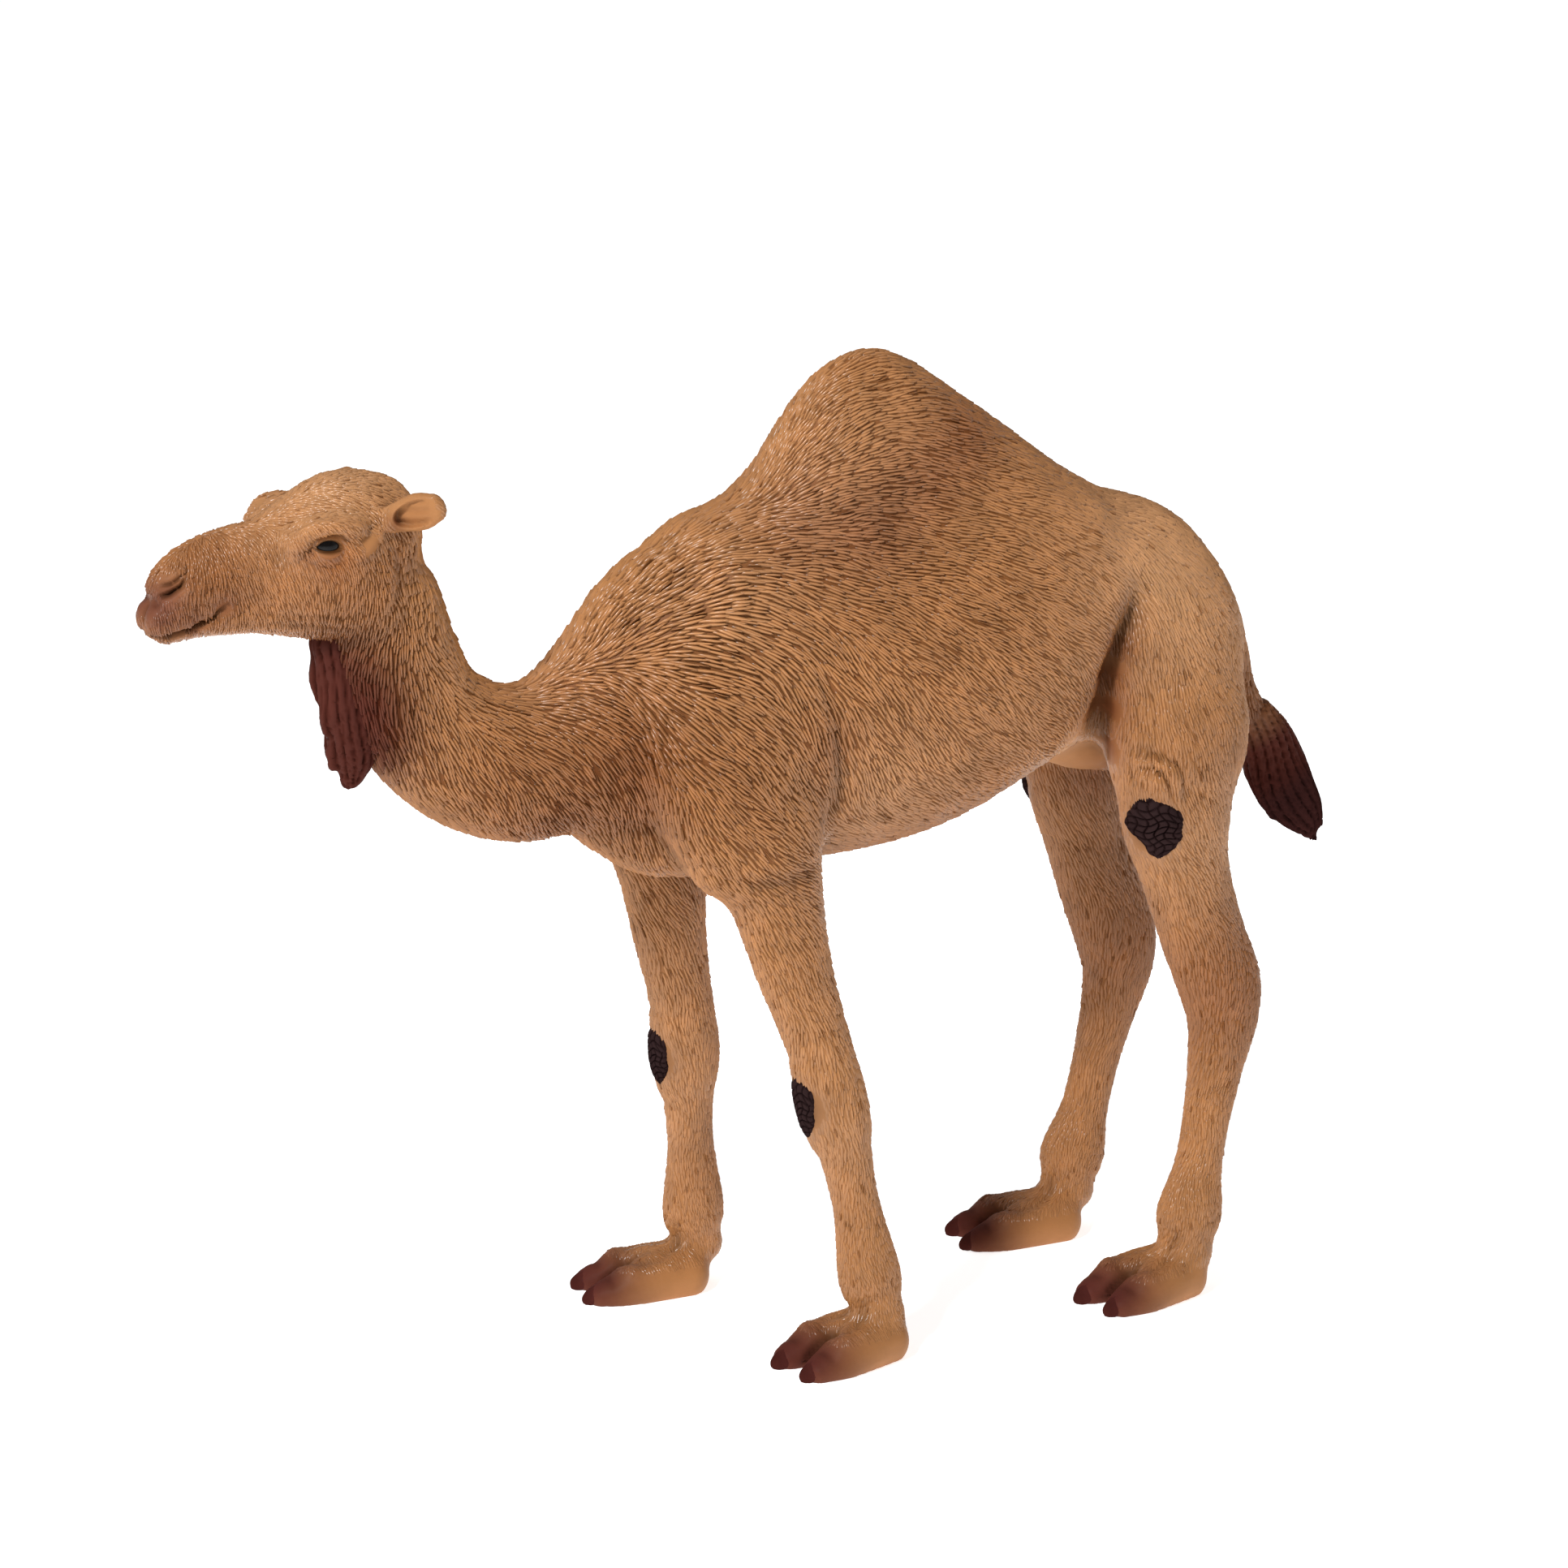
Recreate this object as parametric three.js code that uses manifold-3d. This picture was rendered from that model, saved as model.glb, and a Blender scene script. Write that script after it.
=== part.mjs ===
// A standing dromedary figure moulded in plastic: one humped trunk, a forward neck, a level head and four
// long legs on two-toed feet. Millimetres, +Z up; the camel faces -X and its left side is -Y.
// The flesh is one smooth shape, parted into named pieces by thin straight cuts.
import * as THREE from 'three';
import { mergeVertices } from 'three/addons/utils/BufferGeometryUtils.js';
import Module from 'manifold-3d';

const wasm = await Module();
wasm.setup();

// ---- Driving dimensions -------------------------------------------------------------------------------
const gap = 0.3;            // width of the cuts between pieces
const bodyHeight = 71;      // middle of the barrel above the ground
const humpFoot = 84;        // level that the hump rises from
const soleLevel = 0;
const throat = { x: -50.6, z: 80 };  // the cut between head and neck runs from here
const nape = { x: -36.8, z: 86.4 };  // to here
const trunkFront = -21.5;   // cut at the base of the neck
const elbowLevel = 51.2;    // cut at the top of the front legs
const groin = { y: 4, z: 55 };  // the cut between trunk and thigh starts here
const hip = { y: 15, z: 79 };   // and ends here, on the outer side of the hip
const flankX = 36.6;        // front of the thigh
const fetlockLevel = 6;     // cut at the top of the feet
const sides = [{ name: 'left', s: -1 }, { name: 'right', s: 1 }];

// How far the right leg of a pair stands ahead of the left one, halved: at the body and at the ground.
const frontStride = { top: 2.2, ground: 3.7 };
const hindStride = { top: 0.3, ground: 0.8 };
const strideHeight = 50;

// Where each foot stands, and how it is turned out.
const feet = {
  front_left: { x: 2.3, y: -14.8, s: -1 },
  front_right: { x: -6.9, y: 14.8, s: 1 },
  hind_left: { x: 40.6, y: -11.8, s: -1 },
  hind_right: { x: 37.9, y: 11.8, s: 1 },
};
const footTurn = 10 * Math.PI / 180;

// Sizes of the mesh cells, finer where the form is finer.
const cell = { body: 4, neck: 2.9, frontLeg: 2.1, hindLeg: 2.5, foot: 2.2, head: 2, hair: 1.8, small: 1.5 };

const colours = { tan: 0xb98a58, dark: 0x4a2320, black: 0x17120f, nail: 0x4b2b2b };

// ---- Stations: x, y, z of the middle, half depth in the side view, half width across -------------------
const trunk = [[-17, 0, 66.6, 9.8, 7.4], [-13.5, 0, 68.4, 13.4, 9], [-6, 0, 70.6, 18, 11.9],
  [5, 0, bodyHeight, 19.2, 13.8], [15, 0, 71.6, 18.8, 14.4], [24, 0, 73.4, 16.8, 14.2],
  [33, 0, 75, 14.5, 12.6], [41, 0, 74.8, 11.6, 10.4], [46.8, 0, 72.6, 8.6, 8], [51, 0, 70.8, 6.2, 6.2]];
const hump = [[-6, 3.6, 8], [-0.6, 6.8, 8.4], [3, 12.4, 8.4], [5.9, 17.4, 8.2], [8.8, 20.2, 8],
  [12.4, 21.3, 7.8], [16.4, 20.2, 8.4], [22, 16.2, 9], [29, 10.8, 9.2], [34, 5.8, 8.8]]
  .map(([x, tall, wide]) => [x, 0, humpFoot, tall, wide]);
const neck = [[-18, 0, 67, 9.8, 7.4], [-23, 0, 66.3, 8.4, 7], [-28, 0, 65.8, 8.1, 6.6],
  [-33.5, 0, 67.5, 7.6, 6], [-38.7, 0, 71.8, 7, 5.5], [-41.6, 0, 78, 6.7, 5.2], [-43.2, 0, 84, 6.4, 5]];
const brisket = [[-18, 0, 58.2, 3, 4], [-13, 0, 56.6, 4.5, 5.8], [-7.5, 0, 56.2, 4.8, 6.4]];
const udder = [[32, 0, 62, 2.4, 3], [37.5, 0, 60, 3, 3.6], [41.5, 0, 59.2, 2.8, 3.2]];
const shoulder = [[-7, 4.4, 78, 4.6, 3.2], [-8.6, 6.2, 73.5, 6.2, 4.2], [-9.4, 8.2, 68, 7.4, 4.9],
  [-8.3, 9.3, 62, 7.3, 5], [-6.5, 9.3, 56, 6.2, 4.6]];
const thigh = [[42.2, 3.5, 78, 7.4, 4.8], [44.3, 6.2, 72.6, 8.6, 5.4], [45, 8.4, 67, 8.1, 5.1],
  [44.9, 9.6, 61, 7.4, 5]];
const frontLeg = [[-6.3, 9.2, 57, 6.2, 4.6], [-4.8, 9.3, 49.5, 4.8, 4], [-3.4, 10, 42, 4, 3.3],
  [-1.6, 10.9, 35, 3.5, 2.8], [-0.5, 11.6, 29, 3.85, 3.1], [0, 12.1, 25.6, 3.7, 3.1],
  [0.6, 12.6, 22.3, 2.9, 2.4], [1.4, 13.3, 16.5, 2.6, 2.1], [2.3, 14, 10.8, 3, 2.4],
  [2.7, 14.4, 7.6, 3.4, 2.8], [2.8, 14.5, 5, 3.2, 2.8]];
const hindLeg = [[45, 9.6, 63, 7.3, 4.9], [44.3, 10.2, 54, 6.3, 4.8], [45.4, 10.3, 47.5, 5, 4.1],
  [47.6, 10.4, 40, 4.7, 3.7], [49.8, 10.5, 34, 4.7, 3.6], [50.2, 10.6, 30, 4.1, 3.1],
  [49.1, 10.9, 24.5, 3.2, 2.5], [47.8, 11.2, 18.5, 2.7, 2.2], [46.8, 11.4, 13.8, 2.8, 2.2],
  [45.8, 11.7, 10, 3.5, 2.7], [45.2, 11.8, 7, 3.8, 3], [44.8, 11.8, 4.6, 3.4, 2.9]];
// One toe of a foot: distance ahead of the foot's centre, distance from its middle line, then as above.
const toe = [[-4, 0.9, 1.8, 3.2, 3.5], [-0.6, 1.9, 1.8, 2.9, 3.2], [2.8, 2.5, 1.2, 2.4, 2.7],
  [5.4, 2.6, 0.7, 1.6, 1.9]];
const skull = [[-44.2, 0, 90.6, 6.6, 5.2], [-47.6, 0, 91.2, 7, 6], [-51.5, 0, 90, 5.8, 5.6]];
const muzzle = [[-51, 0, 89.5, 5.5, 5.1], [-55, 0, 89.3, 5.1, 4.2], [-59.5, 0, 89.4, 4.7, 3.7],
  [-63.5, 0, 88.7, 4, 3.4], [-65.4, 0, 88.2, 3.1, 2.9]];
const jaw = [[-44.5, 0, 85.2, 3.9, 4.6], [-50, 0, 84.9, 3.2, 4], [-56, 0, 85.2, 2.3, 3.1],
  [-61, 0, 85.2, 2, 2.6], [-65.8, 0, 85, 1.8, 2.2]];
const orbit = [[-51.6, 4.5, 91.6, 2.4, 2.3], [-49, 4.6, 91.4, 2.6, 2.3]];
const brow = [[-54.4, 4.9, 92.9, 1.5, 1.6], [-52.2, 5.9, 93.6, 1.9, 1.7], [-49.6, 6, 93.7, 1.9, 1.6],
  [-47.4, 5.1, 92.8, 1.6, 1.6]];
const cheek = [[-54, 2.9, 87.9, 2.6, 1.7], [-49.5, 4, 87.6, 3.8, 2.2], [-45.6, 4.1, 87.3, 4.3, 2.3]];
const lip = [[-66, 1.2, 86, 2.4, 2], [-67.2, 1.2, 85.4, 2.2, 1.8]];
const eyeHollow = [[-52.9, 8.5, 92.6, 1.5, 1.5], [-50.8, 8.7, 92.3, 1.6, 1.6]];
const mane = [[-48, 0, 79.6, 2.2, 2], [-47.6, 0, 76, 2.7, 2.4], [-46.8, 0, 72.6, 2.9, 2.4],
  [-45.6, 0, 69.2, 2.9, 2.1], [-45.2, 0, 66.8, 1.8, 1.3]];
const dock = [[55, 0, 71, 3, 2.6], [58, 0, 68, 2.5, 2.2], [59.2, 0, 64, 2.2, 1.9], [60.2, 0, 60.6, 2.1, 1.8]];
const tuft = [[60.4, 0, 60.2, 2.2, 1.8], [61.9, 0, 57.2, 3.2, 2.3], [63.6, 0, 53.2, 3.6, 2.5],
  [65.8, 0, 49.4, 2.8, 2.1], [67.6, 0, 46.9, 1.4, 1.2]];
const earRoot = [-44.4, 5.2, 94.3];
const earTip = [-40.2, 9.4, 96.2];
const earSize = { long: 3.4, tall: 2.1, thick: 1.5 };
const eye = { at: [-51.8, 5.7, 92.6], r: 1.5 };
const proud = 0.3;          // how far the callus pads stand out of the leg
const kneePad = { x: -4, y: 12, z: 27.6, deep: 1.5, wide: 2.4, tall: 3.2 };
const stiflePad = { x: 39.4, y: 12.5, z: 53, turn: 40 * Math.PI / 180, deep: 1.6, wide: 3.3, tall: 3.1 };
const nail = { ahead: 6.6, out: 2.6, z: 0.9, long: 2.5, wide: 2.1, tall: 1.9 };

// ---- Smooth forms --------------------------------------------------------------------------------------
const far = 1000;
const reach = 6;   // beyond this a limb no longer shapes the surface
const core = 0.3;  // inside this share of its section a limb is simply solid

// A Catmull-Rom curve through the stations, sampled about every step.
function sampled(rows, step) {
  const ends = (a, b) => a.map((v, i) => 2 * v - b[i]);
  const p = [ends(rows[0], rows[1]), ...rows, ends(rows.at(-1), rows.at(-2))];
  const out = [];
  for (let i = 1; i < p.length - 2; i++) {
    const [a, b, c, d] = p.slice(i - 1, i + 3);
    const count = Math.max(2, Math.ceil(Math.hypot(c[0] - b[0], c[1] - b[1], c[2] - b[2]) / step));
    for (let j = 0; j < count; j++) {
      const t = j / count;
      out.push(b.map((v, k) => 0.5 * (2 * v + (c[k] - a[k]) * t
        + (2 * a[k] - 5 * v + 4 * c[k] - d[k]) * t ** 2 + (3 * v - a[k] - 3 * c[k] + d[k]) * t ** 3)));
    }
  }
  out.push(rows.at(-1));
  return out;
}

// A limb of elliptical section that follows the stations; blend is how softly it joins what it meets, cap how
// round its ends are, and a hollow one is taken away instead.
function limb(rows, step, blend, cap = 1, hollow = false) {
  const samples = sampled(rows, step);
  const segments = [];
  for (let i = 0; i + 1 < samples.length; i++) {
    const [from, to] = [samples[i], samples[i + 1]];
    const at = new THREE.Vector3(...from);
    const along = new THREE.Vector3(...to).sub(at);
    const length = along.length();
    along.normalize();
    const across = new THREE.Vector3(0, 1, 0).addScaledVector(along, -along.y).normalize();
    const deep = new THREE.Vector3().crossVectors(along, across);
    segments.push({ at, along, across, deep, length, a: from[3], b: from[4], da: to[3] - from[3], db: to[4] - from[4] });
  }
  const box = new THREE.Box3();
  for (const [x, y, z, a, b] of samples) {
    const r = Math.max(a, b);
    box.expandByPoint(new THREE.Vector3(x - r, y - r, z - r)).expandByPoint(new THREE.Vector3(x + r, y + r, z + r));
  }
  return { segments, blend, cap, hollow, box: box.expandByScalar(reach + blend) };
}

// Signed distance to a limb, near enough for blending: below zero inside.
function limbField(form, p) {
  let best = far;
  for (const g of form.segments) {
    const [x, y, z] = [p.x - g.at.x, p.y - g.at.y, p.z - g.at.z];
    const u = x * g.along.x + y * g.along.y + z * g.along.z;
    const w = Math.min(1, Math.max(0, u / g.length));
    const [a, b] = [g.a + g.da * w, g.b + g.db * w];
    const r = Math.min(a, b) * form.cap;
    const d = (x * g.deep.x + y * g.deep.y + z * g.deep.z) / a;
    const c = (x * g.across.x + y * g.across.y + z * g.across.z) / b;
    const e = (u - w * g.length) / r;
    const k = Math.hypot(d, c, e);
    const slope = Math.hypot(d / a, c / b, e / r);
    best = Math.min(best, k > core ? k * (k - 1) / slope : -0.7 * Math.min(a, b));
  }
  return best;
}
function smoothMin(a, b, blend) {
  const h = Math.max(blend - Math.abs(a - b), 0) / blend;
  return Math.min(a, b) - h * h * blend / 4;
}

function fieldOf(forms, p) {
  let d = 50;
  for (const form of forms) {
    if (!form.box.containsPoint(p)) continue;
    const own = limbField(form, p);
    d = form.hollow ? -smoothMin(-d, own, form.blend) : smoothMin(d, own, form.blend);
  }
  return d;
}

// ---- Meshes from forms ---------------------------------------------------------------------------------
// The surface where the forms' field equals level, inside a box: one vertex in each cell that it crosses,
// slid onto the surface, and closed flat where the box cuts it.
function skin(forms, [min, max], size, level = 0) {
  const n = min.map((v, i) => Math.max(3, Math.ceil((max[i] - v) / size)));
  const step = [1, n[0] + 1, (n[0] + 1) * (n[1] + 1)];
  const values = new Float64Array((n[0] + 1) * (n[1] + 1) * (n[2] + 1));
  const point = new THREE.Vector3();
  const field = (x, y, z) => fieldOf(forms, point.set(x, y, z)) - level;
  const edge = (i, j, k) => [i, j, k].some((v, a) => v === 0 || v === n[a]);
  for (let k = 0; k <= n[2]; k++) for (let j = 0; j <= n[1]; j++) for (let i = 0; i <= n[0]; i++) {
    const v = field(min[0] + i * size, min[1] + j * size, min[2] + k * size);
    values[i + j * step[1] + k * step[2]] = edge(i, j, k) ? Math.max(v, size / 2) : v;
  }
  const vertexOf = new Map();
  const positions = [];
  const slid = (p, rim) => {
    if (rim) return p;
    const start = [...p];
    for (let turn = 0; turn < 3; turn++) {
      const d = field(...p);
      const slope = [0, 1, 2].map((a) => (field(...p.map((v, b) => v + (a === b ? 0.05 : 0))) - d) / 0.05);
      const steep = Math.max(0.2, slope[0] ** 2 + slope[1] ** 2 + slope[2] ** 2);
      p = p.map((v, a) => Math.min(start[a] + size / 2, Math.max(start[a] - size / 2, v - d * slope[a] / steep)));
    }
    return p;
  };
  const corners = [0, 1, 2, 3, 4, 5, 6, 7].map((c) => [c & 1, (c >> 1) & 1, c >> 2]);
  const edges = corners.flatMap((c, i) => [0, 1, 2].filter((a) => !c[a]).map((a) => [i, i | (1 << a)]));
  for (let k = 0; k < n[2]; k++) for (let j = 0; j < n[1]; j++) for (let i = 0; i < n[0]; i++) {
    const base = i + j * step[1] + k * step[2];
    const v = corners.map((c) => values[base + c[0] + c[1] * step[1] + c[2] * step[2]]);
    const crossed = edges.filter(([a, b]) => (v[a] < 0) !== (v[b] < 0));
    if (!crossed.length) continue;
    const sum = [0, 0, 0];
    for (const [a, b] of crossed) {
      const t = v[a] / (v[a] - v[b]);
      for (let x = 0; x < 3; x++) sum[x] += corners[a][x] + t * (corners[b][x] - corners[a][x]);
    }
    const at = sum.map((w, a) => min[a] + size * ([i, j, k][a] + w / crossed.length));
    vertexOf.set(base, positions.length / 3);
    const rim = [i, j, k].some((c, a) => c === 0 || c === n[a] - 1);
    positions.push(...slid(at, rim));
  }
  const index = [];
  for (let k = 0; k < n[2]; k++) for (let j = 0; j < n[1]; j++) for (let i = 0; i < n[0]; i++) {
    const base = i + j * step[1] + k * step[2];
    for (let a = 0; a < 3; a++) {
      if ([i, j, k].some((c, b) => c === 0 && b !== a)) continue;
      const [inside, next] = [values[base] < 0, values[base + step[a]] < 0];
      if (inside === next) continue;
      const [u, w] = [step[(a + 1) % 3], step[(a + 2) % 3]];
      const q = [base - u - w, base - w, base, base - u].map((c) => vertexOf.get(c));
      index.push(...(inside ? quad(q, positions) : quad(q.reverse(), positions)));
    }
  }
  return solid(new Float32Array(positions), new Uint32Array(index));
}

// Two triangles for a four sided face, split along its shorter diagonal.
function quad([a, b, c, d], positions) {
  const apart = (i, j) => Math.hypot(...[0, 1, 2].map((k) => positions[3 * i + k] - positions[3 * j + k]));
  return apart(a, c) < apart(b, d) ? [a, b, c, a, c, d] : [a, b, d, b, c, d];
}

function solid(vertProperties, triVerts) {
  return new wasm.Manifold(new wasm.Mesh({ numProp: 3, vertProperties, triVerts }));
}

function fromGeometry(geometry) {
  geometry.deleteAttribute('normal');
  geometry.deleteAttribute('uv');
  const merged = mergeVertices(geometry, 1e-4);
  return solid(new Float32Array(merged.attributes.position.array), new Uint32Array(merged.index.array));
}

// Everything on the side of a plane that its direction points to, from lift beyond the plane on.
function beyond(at, direction, lift) {
  const wide = 400;
  const normal = new THREE.Vector3(...direction).normalize();
  const turn = new THREE.Quaternion().setFromUnitVectors(new THREE.Vector3(0, 0, 1), normal);
  const middle = new THREE.Vector3(...at).addScaledVector(normal, lift + wide / 2);
  const matrix = new THREE.Matrix4().compose(middle, turn, new THREE.Vector3(1, 1, 1));
  return fromGeometry(new THREE.BoxGeometry(wide, wide, wide).applyMatrix4(matrix));
}

// An ellipsoid with its own three half sizes, turned about the vertical.
function egg([x, y, z], [a, b, c], turn = 0) {
  const round = new THREE.SphereGeometry(1, 10, 6).rotateX(Math.PI / 2).scale(a, b, c);
  return fromGeometry(round.rotateZ(turn).translate(x, y, z));
}

function largest(shape) {
  return shape.decompose().sort((a, b) => b.volume() - a.volume())[0];
}

// The cuts leave short edges. Each group of vertices joined by edges shorter than the tolerance becomes one
// vertex, on the sole where one of them lies there. Nothing is returned where that would not stay closed.
function welded({ vertProperties, triVerts }, tolerance) {
  const point = (i) => Array.from(vertProperties.slice(3 * i, 3 * i + 3));
  const count = vertProperties.length / 3;
  const parent = Array.from({ length: count }, (_, i) => i);
  const root = (i) => { while (parent[i] !== i) i = parent[i]; return i; };
  for (let t = 0; t < triVerts.length; t++) {
    const [i, j] = [triVerts[t], triVerts[t % 3 === 2 ? t - 2 : t + 1]];
    const [p, q] = [point(i), point(j)];
    if (Math.hypot(p[0] - q[0], p[1] - q[1], p[2] - q[2]) < tolerance) parent[root(i)] = root(j);
  }
  const members = new Map();
  for (let i = 0; i < count; i++) members.set(root(i), [...(members.get(root(i)) ?? []), i]);
  const positions = [];
  const place = new Map();
  for (const [key, list] of members) {
    place.set(key, positions.length / 3);
    const low = list.map(point).filter((p) => p[2] < soleLevel + 1e-3);
    const chosen = low.length ? low : list.map(point);
    for (let a = 0; a < 3; a++) positions.push(chosen.reduce((sum, p) => sum + p[a], 0) / chosen.length);
  }
  const index = [];
  const uses = new Map();
  for (let t = 0; t < triVerts.length; t += 3) {
    const [a, b, c] = [0, 1, 2].map((k) => place.get(root(triVerts[t + k])));
    if (a === b || b === c || c === a) continue;
    index.push(a, b, c);
    for (const [i, j] of [[a, b], [b, c], [c, a]]) {
      const key = Math.min(i, j) * count + Math.max(i, j);
      uses.set(key, (uses.get(key) ?? 0) + 1);
    }
  }
  return [...uses.values()].every((n) => n === 2) ? { positions, index } : null;
}

// ---- The flesh -------------------------------------------------------------------------------------------
const mirrored = (rows, s) => rows.map(([x, y, ...rest]) => [x, s * y, ...rest]);

function strode(rows, s, stride) {
  const ahead = (z) => stride.top + (stride.ground - stride.top) * (1 - Math.min(z, strideHeight) / strideHeight);
  return rows.map(([x, y, z, a, b]) => [x - s * ahead(z), s * y, z, a, b]);
}

// A point of a foot: forward of its middle, and outward from its middle line.
function footPoint(foot, forward, out) {
  const [c, s] = [Math.cos(footTurn), Math.sin(footTurn) * foot.s];
  return [foot.x - forward * c - out * s, foot.y + forward * s - out * c];
}

const legForms = (rows, stride) => sides.map(({ s }) => limb(strode(rows, s, stride), 1.2, 3));
const toeForms = Object.values(feet).flatMap((foot) => [1, -1].map((v) => limb(
  toe.map(([forward, out, z, a, b]) => [...footPoint(foot, forward, v * out), z, a, b]), 0.8, 1.2)));
const bodyForms = [limb(trunk, 2, 6), limb(hump, 1, 5, 0.5), limb(neck, 1.5, 4), limb(brisket, 1.5, 2),
  limb(udder, 1.5, 2.5),
  ...sides.flatMap(({ s }) => [limb(mirrored(shoulder, s), 1.5, 4), limb(mirrored(thigh, s), 1.5, 6)]),
  ...legForms(frontLeg, frontStride), ...legForms(hindLeg, hindStride), ...toeForms,
  limb(skull, 1, 2.5), limb(muzzle, 1, 2.5), limb(jaw, 1, 1.6),
  ...sides.flatMap(({ s }) => [limb(mirrored(orbit, s), 0.7, 2.4), limb(mirrored(brow, s), 0.7, 1.6),
    limb(mirrored(cheek, s), 0.8, 2.2), limb(mirrored(lip, s), 0.5, 1),
    limb(mirrored(eyeHollow, s), 0.5, 1, 1, true)])];

// ---- The pieces ------------------------------------------------------------------------------------------
const half = gap / 2;
const headCut = { at: [throat.x, 0, throat.z], up: [throat.z - nape.z, 0, nape.x - throat.x] };
const down = headCut.up.map((v) => -v);
const hipCut = (s, lift) => beyond([0, s * groin.y, groin.z], [0, s * (hip.z - groin.z), groin.y - hip.y], lift);

const group = new THREE.Group();
const weldTries = [0.28, 0.2, 0.12, 0.06, 0.02, 0.002, 0];
const finish = {
  flesh: { color: colours.tan, roughness: 0.5 },
  dark: { color: colours.dark, roughness: 0.45 },
  pad: { color: colours.black, roughness: 0.5 },
  nail: { color: colours.nail, roughness: 0.35 },
  eye: { color: colours.black, roughness: 0.1 },
};

function add(name, shape, look) {
  const whole = largest(shape).getMesh();
  const { positions, index } = weldTries.map((t) => welded(whole, t)).find((found) => found);
  const geometry = new THREE.BufferGeometry();
  geometry.setAttribute('position', new THREE.Float32BufferAttribute(positions, 3));
  geometry.setIndex(index);
  const mesh = new THREE.Mesh(geometry, new THREE.MeshStandardMaterial({ ...finish[look], metalness: 0 }));
  mesh.name = name;
  group.add(mesh);
}

function makeHead() {
  let head = skin(bodyForms, [[-73, -12, 76], [-34, 12, 102]], cell.head)
    .intersect(beyond(headCut.at, headCut.up, half));
  for (const { name, s } of sides) {
    const at = [eye.at[0], s * eye.at[1], eye.at[2]];
    head = head.subtract(egg(at, [eye.r + gap, eye.r + gap, eye.r + gap]));
    add(`eye_${name}`, egg(at, [eye.r, eye.r, eye.r]), 'eye');
    add(`ear_${name}`, makeEar(s), 'flesh');
  }
  add('head', head, 'flesh');
}

// A small cupped ear that stands out and back from the poll.
function makeEar(s) {
  const [root, tip] = [earRoot, earTip].map(([x, y, z]) => new THREE.Vector3(x, s * y, z));
  const along = tip.clone().sub(root).normalize();
  const out = new THREE.Vector3(0, s, 0).addScaledVector(along, -s * along.y).normalize();
  const basis = new THREE.Matrix4().makeBasis(along, out, new THREE.Vector3().crossVectors(along, out));
  const shell = (at, [a, b, c]) => {
    const round = new THREE.SphereGeometry(1, 10, 7).scale(a, b, c).applyMatrix4(basis);
    return fromGeometry(round.translate(...root.clone().lerp(tip, 0.5).add(at).toArray()));
  };
  const { long, tall, thick } = earSize;
  const cup = out.clone().multiplyScalar(thick * 0.85).addScaledVector(along, long * 0.12);
  const ear = shell(new THREE.Vector3(), [long, thick, tall]).subtract(shell(cup, [long * 0.72, thick, tall * 0.68]));
  const box = [[-49, Math.min(s * 1, s * 13), 88], [-34, Math.max(s * 1, s * 13), 102]];
  return ear.subtract(skin(bodyForms, box, cell.small, gap));
}

function makeNeckAndTrunk() {
  const base = [trunkFront, 0, 0];
  add('neck', skin(bodyForms, [[-56, -12, 52], [-14, 12, 96]], cell.neck)
    .intersect(beyond(headCut.at, down, half)).intersect(beyond(base, [-1, 0, 0], half)), 'flesh');
  let barrel = skin(bodyForms, [[-30, -22, 44], [66, 22, 108]], cell.body)
    .intersect(beyond(base, [1, 0, 0], half)).intersect(beyond([0, 0, elbowLevel], [0, 0, 1], half));
  const flank = beyond([flankX, 0, 0], [1, 0, 0], -half);
  for (const { s } of sides) barrel = barrel.subtract(hipCut(s, -half).intersect(flank));
  add('trunk', barrel, 'flesh');
}

function padOn(name, s) {
  if (name === 'hind') {
    const x = stiflePad.x - s * hindStride.top;
    return { at: [x, s * stiflePad.y, stiflePad.z], turn: s * -stiflePad.turn, size: stiflePad };
  }
  const knee = strode([[kneePad.x, kneePad.y, kneePad.z]], s, frontStride)[0];
  return { at: [knee[0], knee[1], kneePad.z], turn: 0, size: kneePad };
}

function makeLegs() {
  const shapes = {
    front: (s) => skin(bodyForms, [[-20, Math.min(s, 22 * s), 2], [14, Math.max(s, 22 * s), 58]], cell.frontLeg)
      .intersect(beyond([0, 0, elbowLevel], [0, 0, -1], half)),
    hind: (s) => skin(bodyForms, [[32, Math.min(s, 22 * s), 2], [62, Math.max(s, 22 * s), 92]], cell.hindLeg)
      .intersect(beyond([flankX, 0, 0], [1, 0, 0], half)).intersect(hipCut(s, half)),
  };
  for (const end of ['front', 'hind']) for (const { name, s } of sides) {
    const pad = padOn(end, s);
    const { deep, wide, tall } = pad.size;
    const socket = egg(pad.at, [deep + gap, wide + gap, tall + gap], pad.turn);
    const plug = egg(pad.at, [deep, wide, tall], pad.turn);
    const leg = shapes[end](s).intersect(beyond([0, 0, fetlockLevel], [0, 0, 1], half));
    add(`leg_${end}_${name}`, leg.subtract(socket), 'flesh');
    const [x, y, z] = pad.at;
    const box = [[x - 6, y - 6, z - 7], [x + 6, y + 6, z + 7]];
    add(`${end === 'front' ? 'knee' : 'stifle'}_pad_${name}`, plug.intersect(skin(bodyForms, box, cell.small, proud)), 'pad');
  }
}

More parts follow.
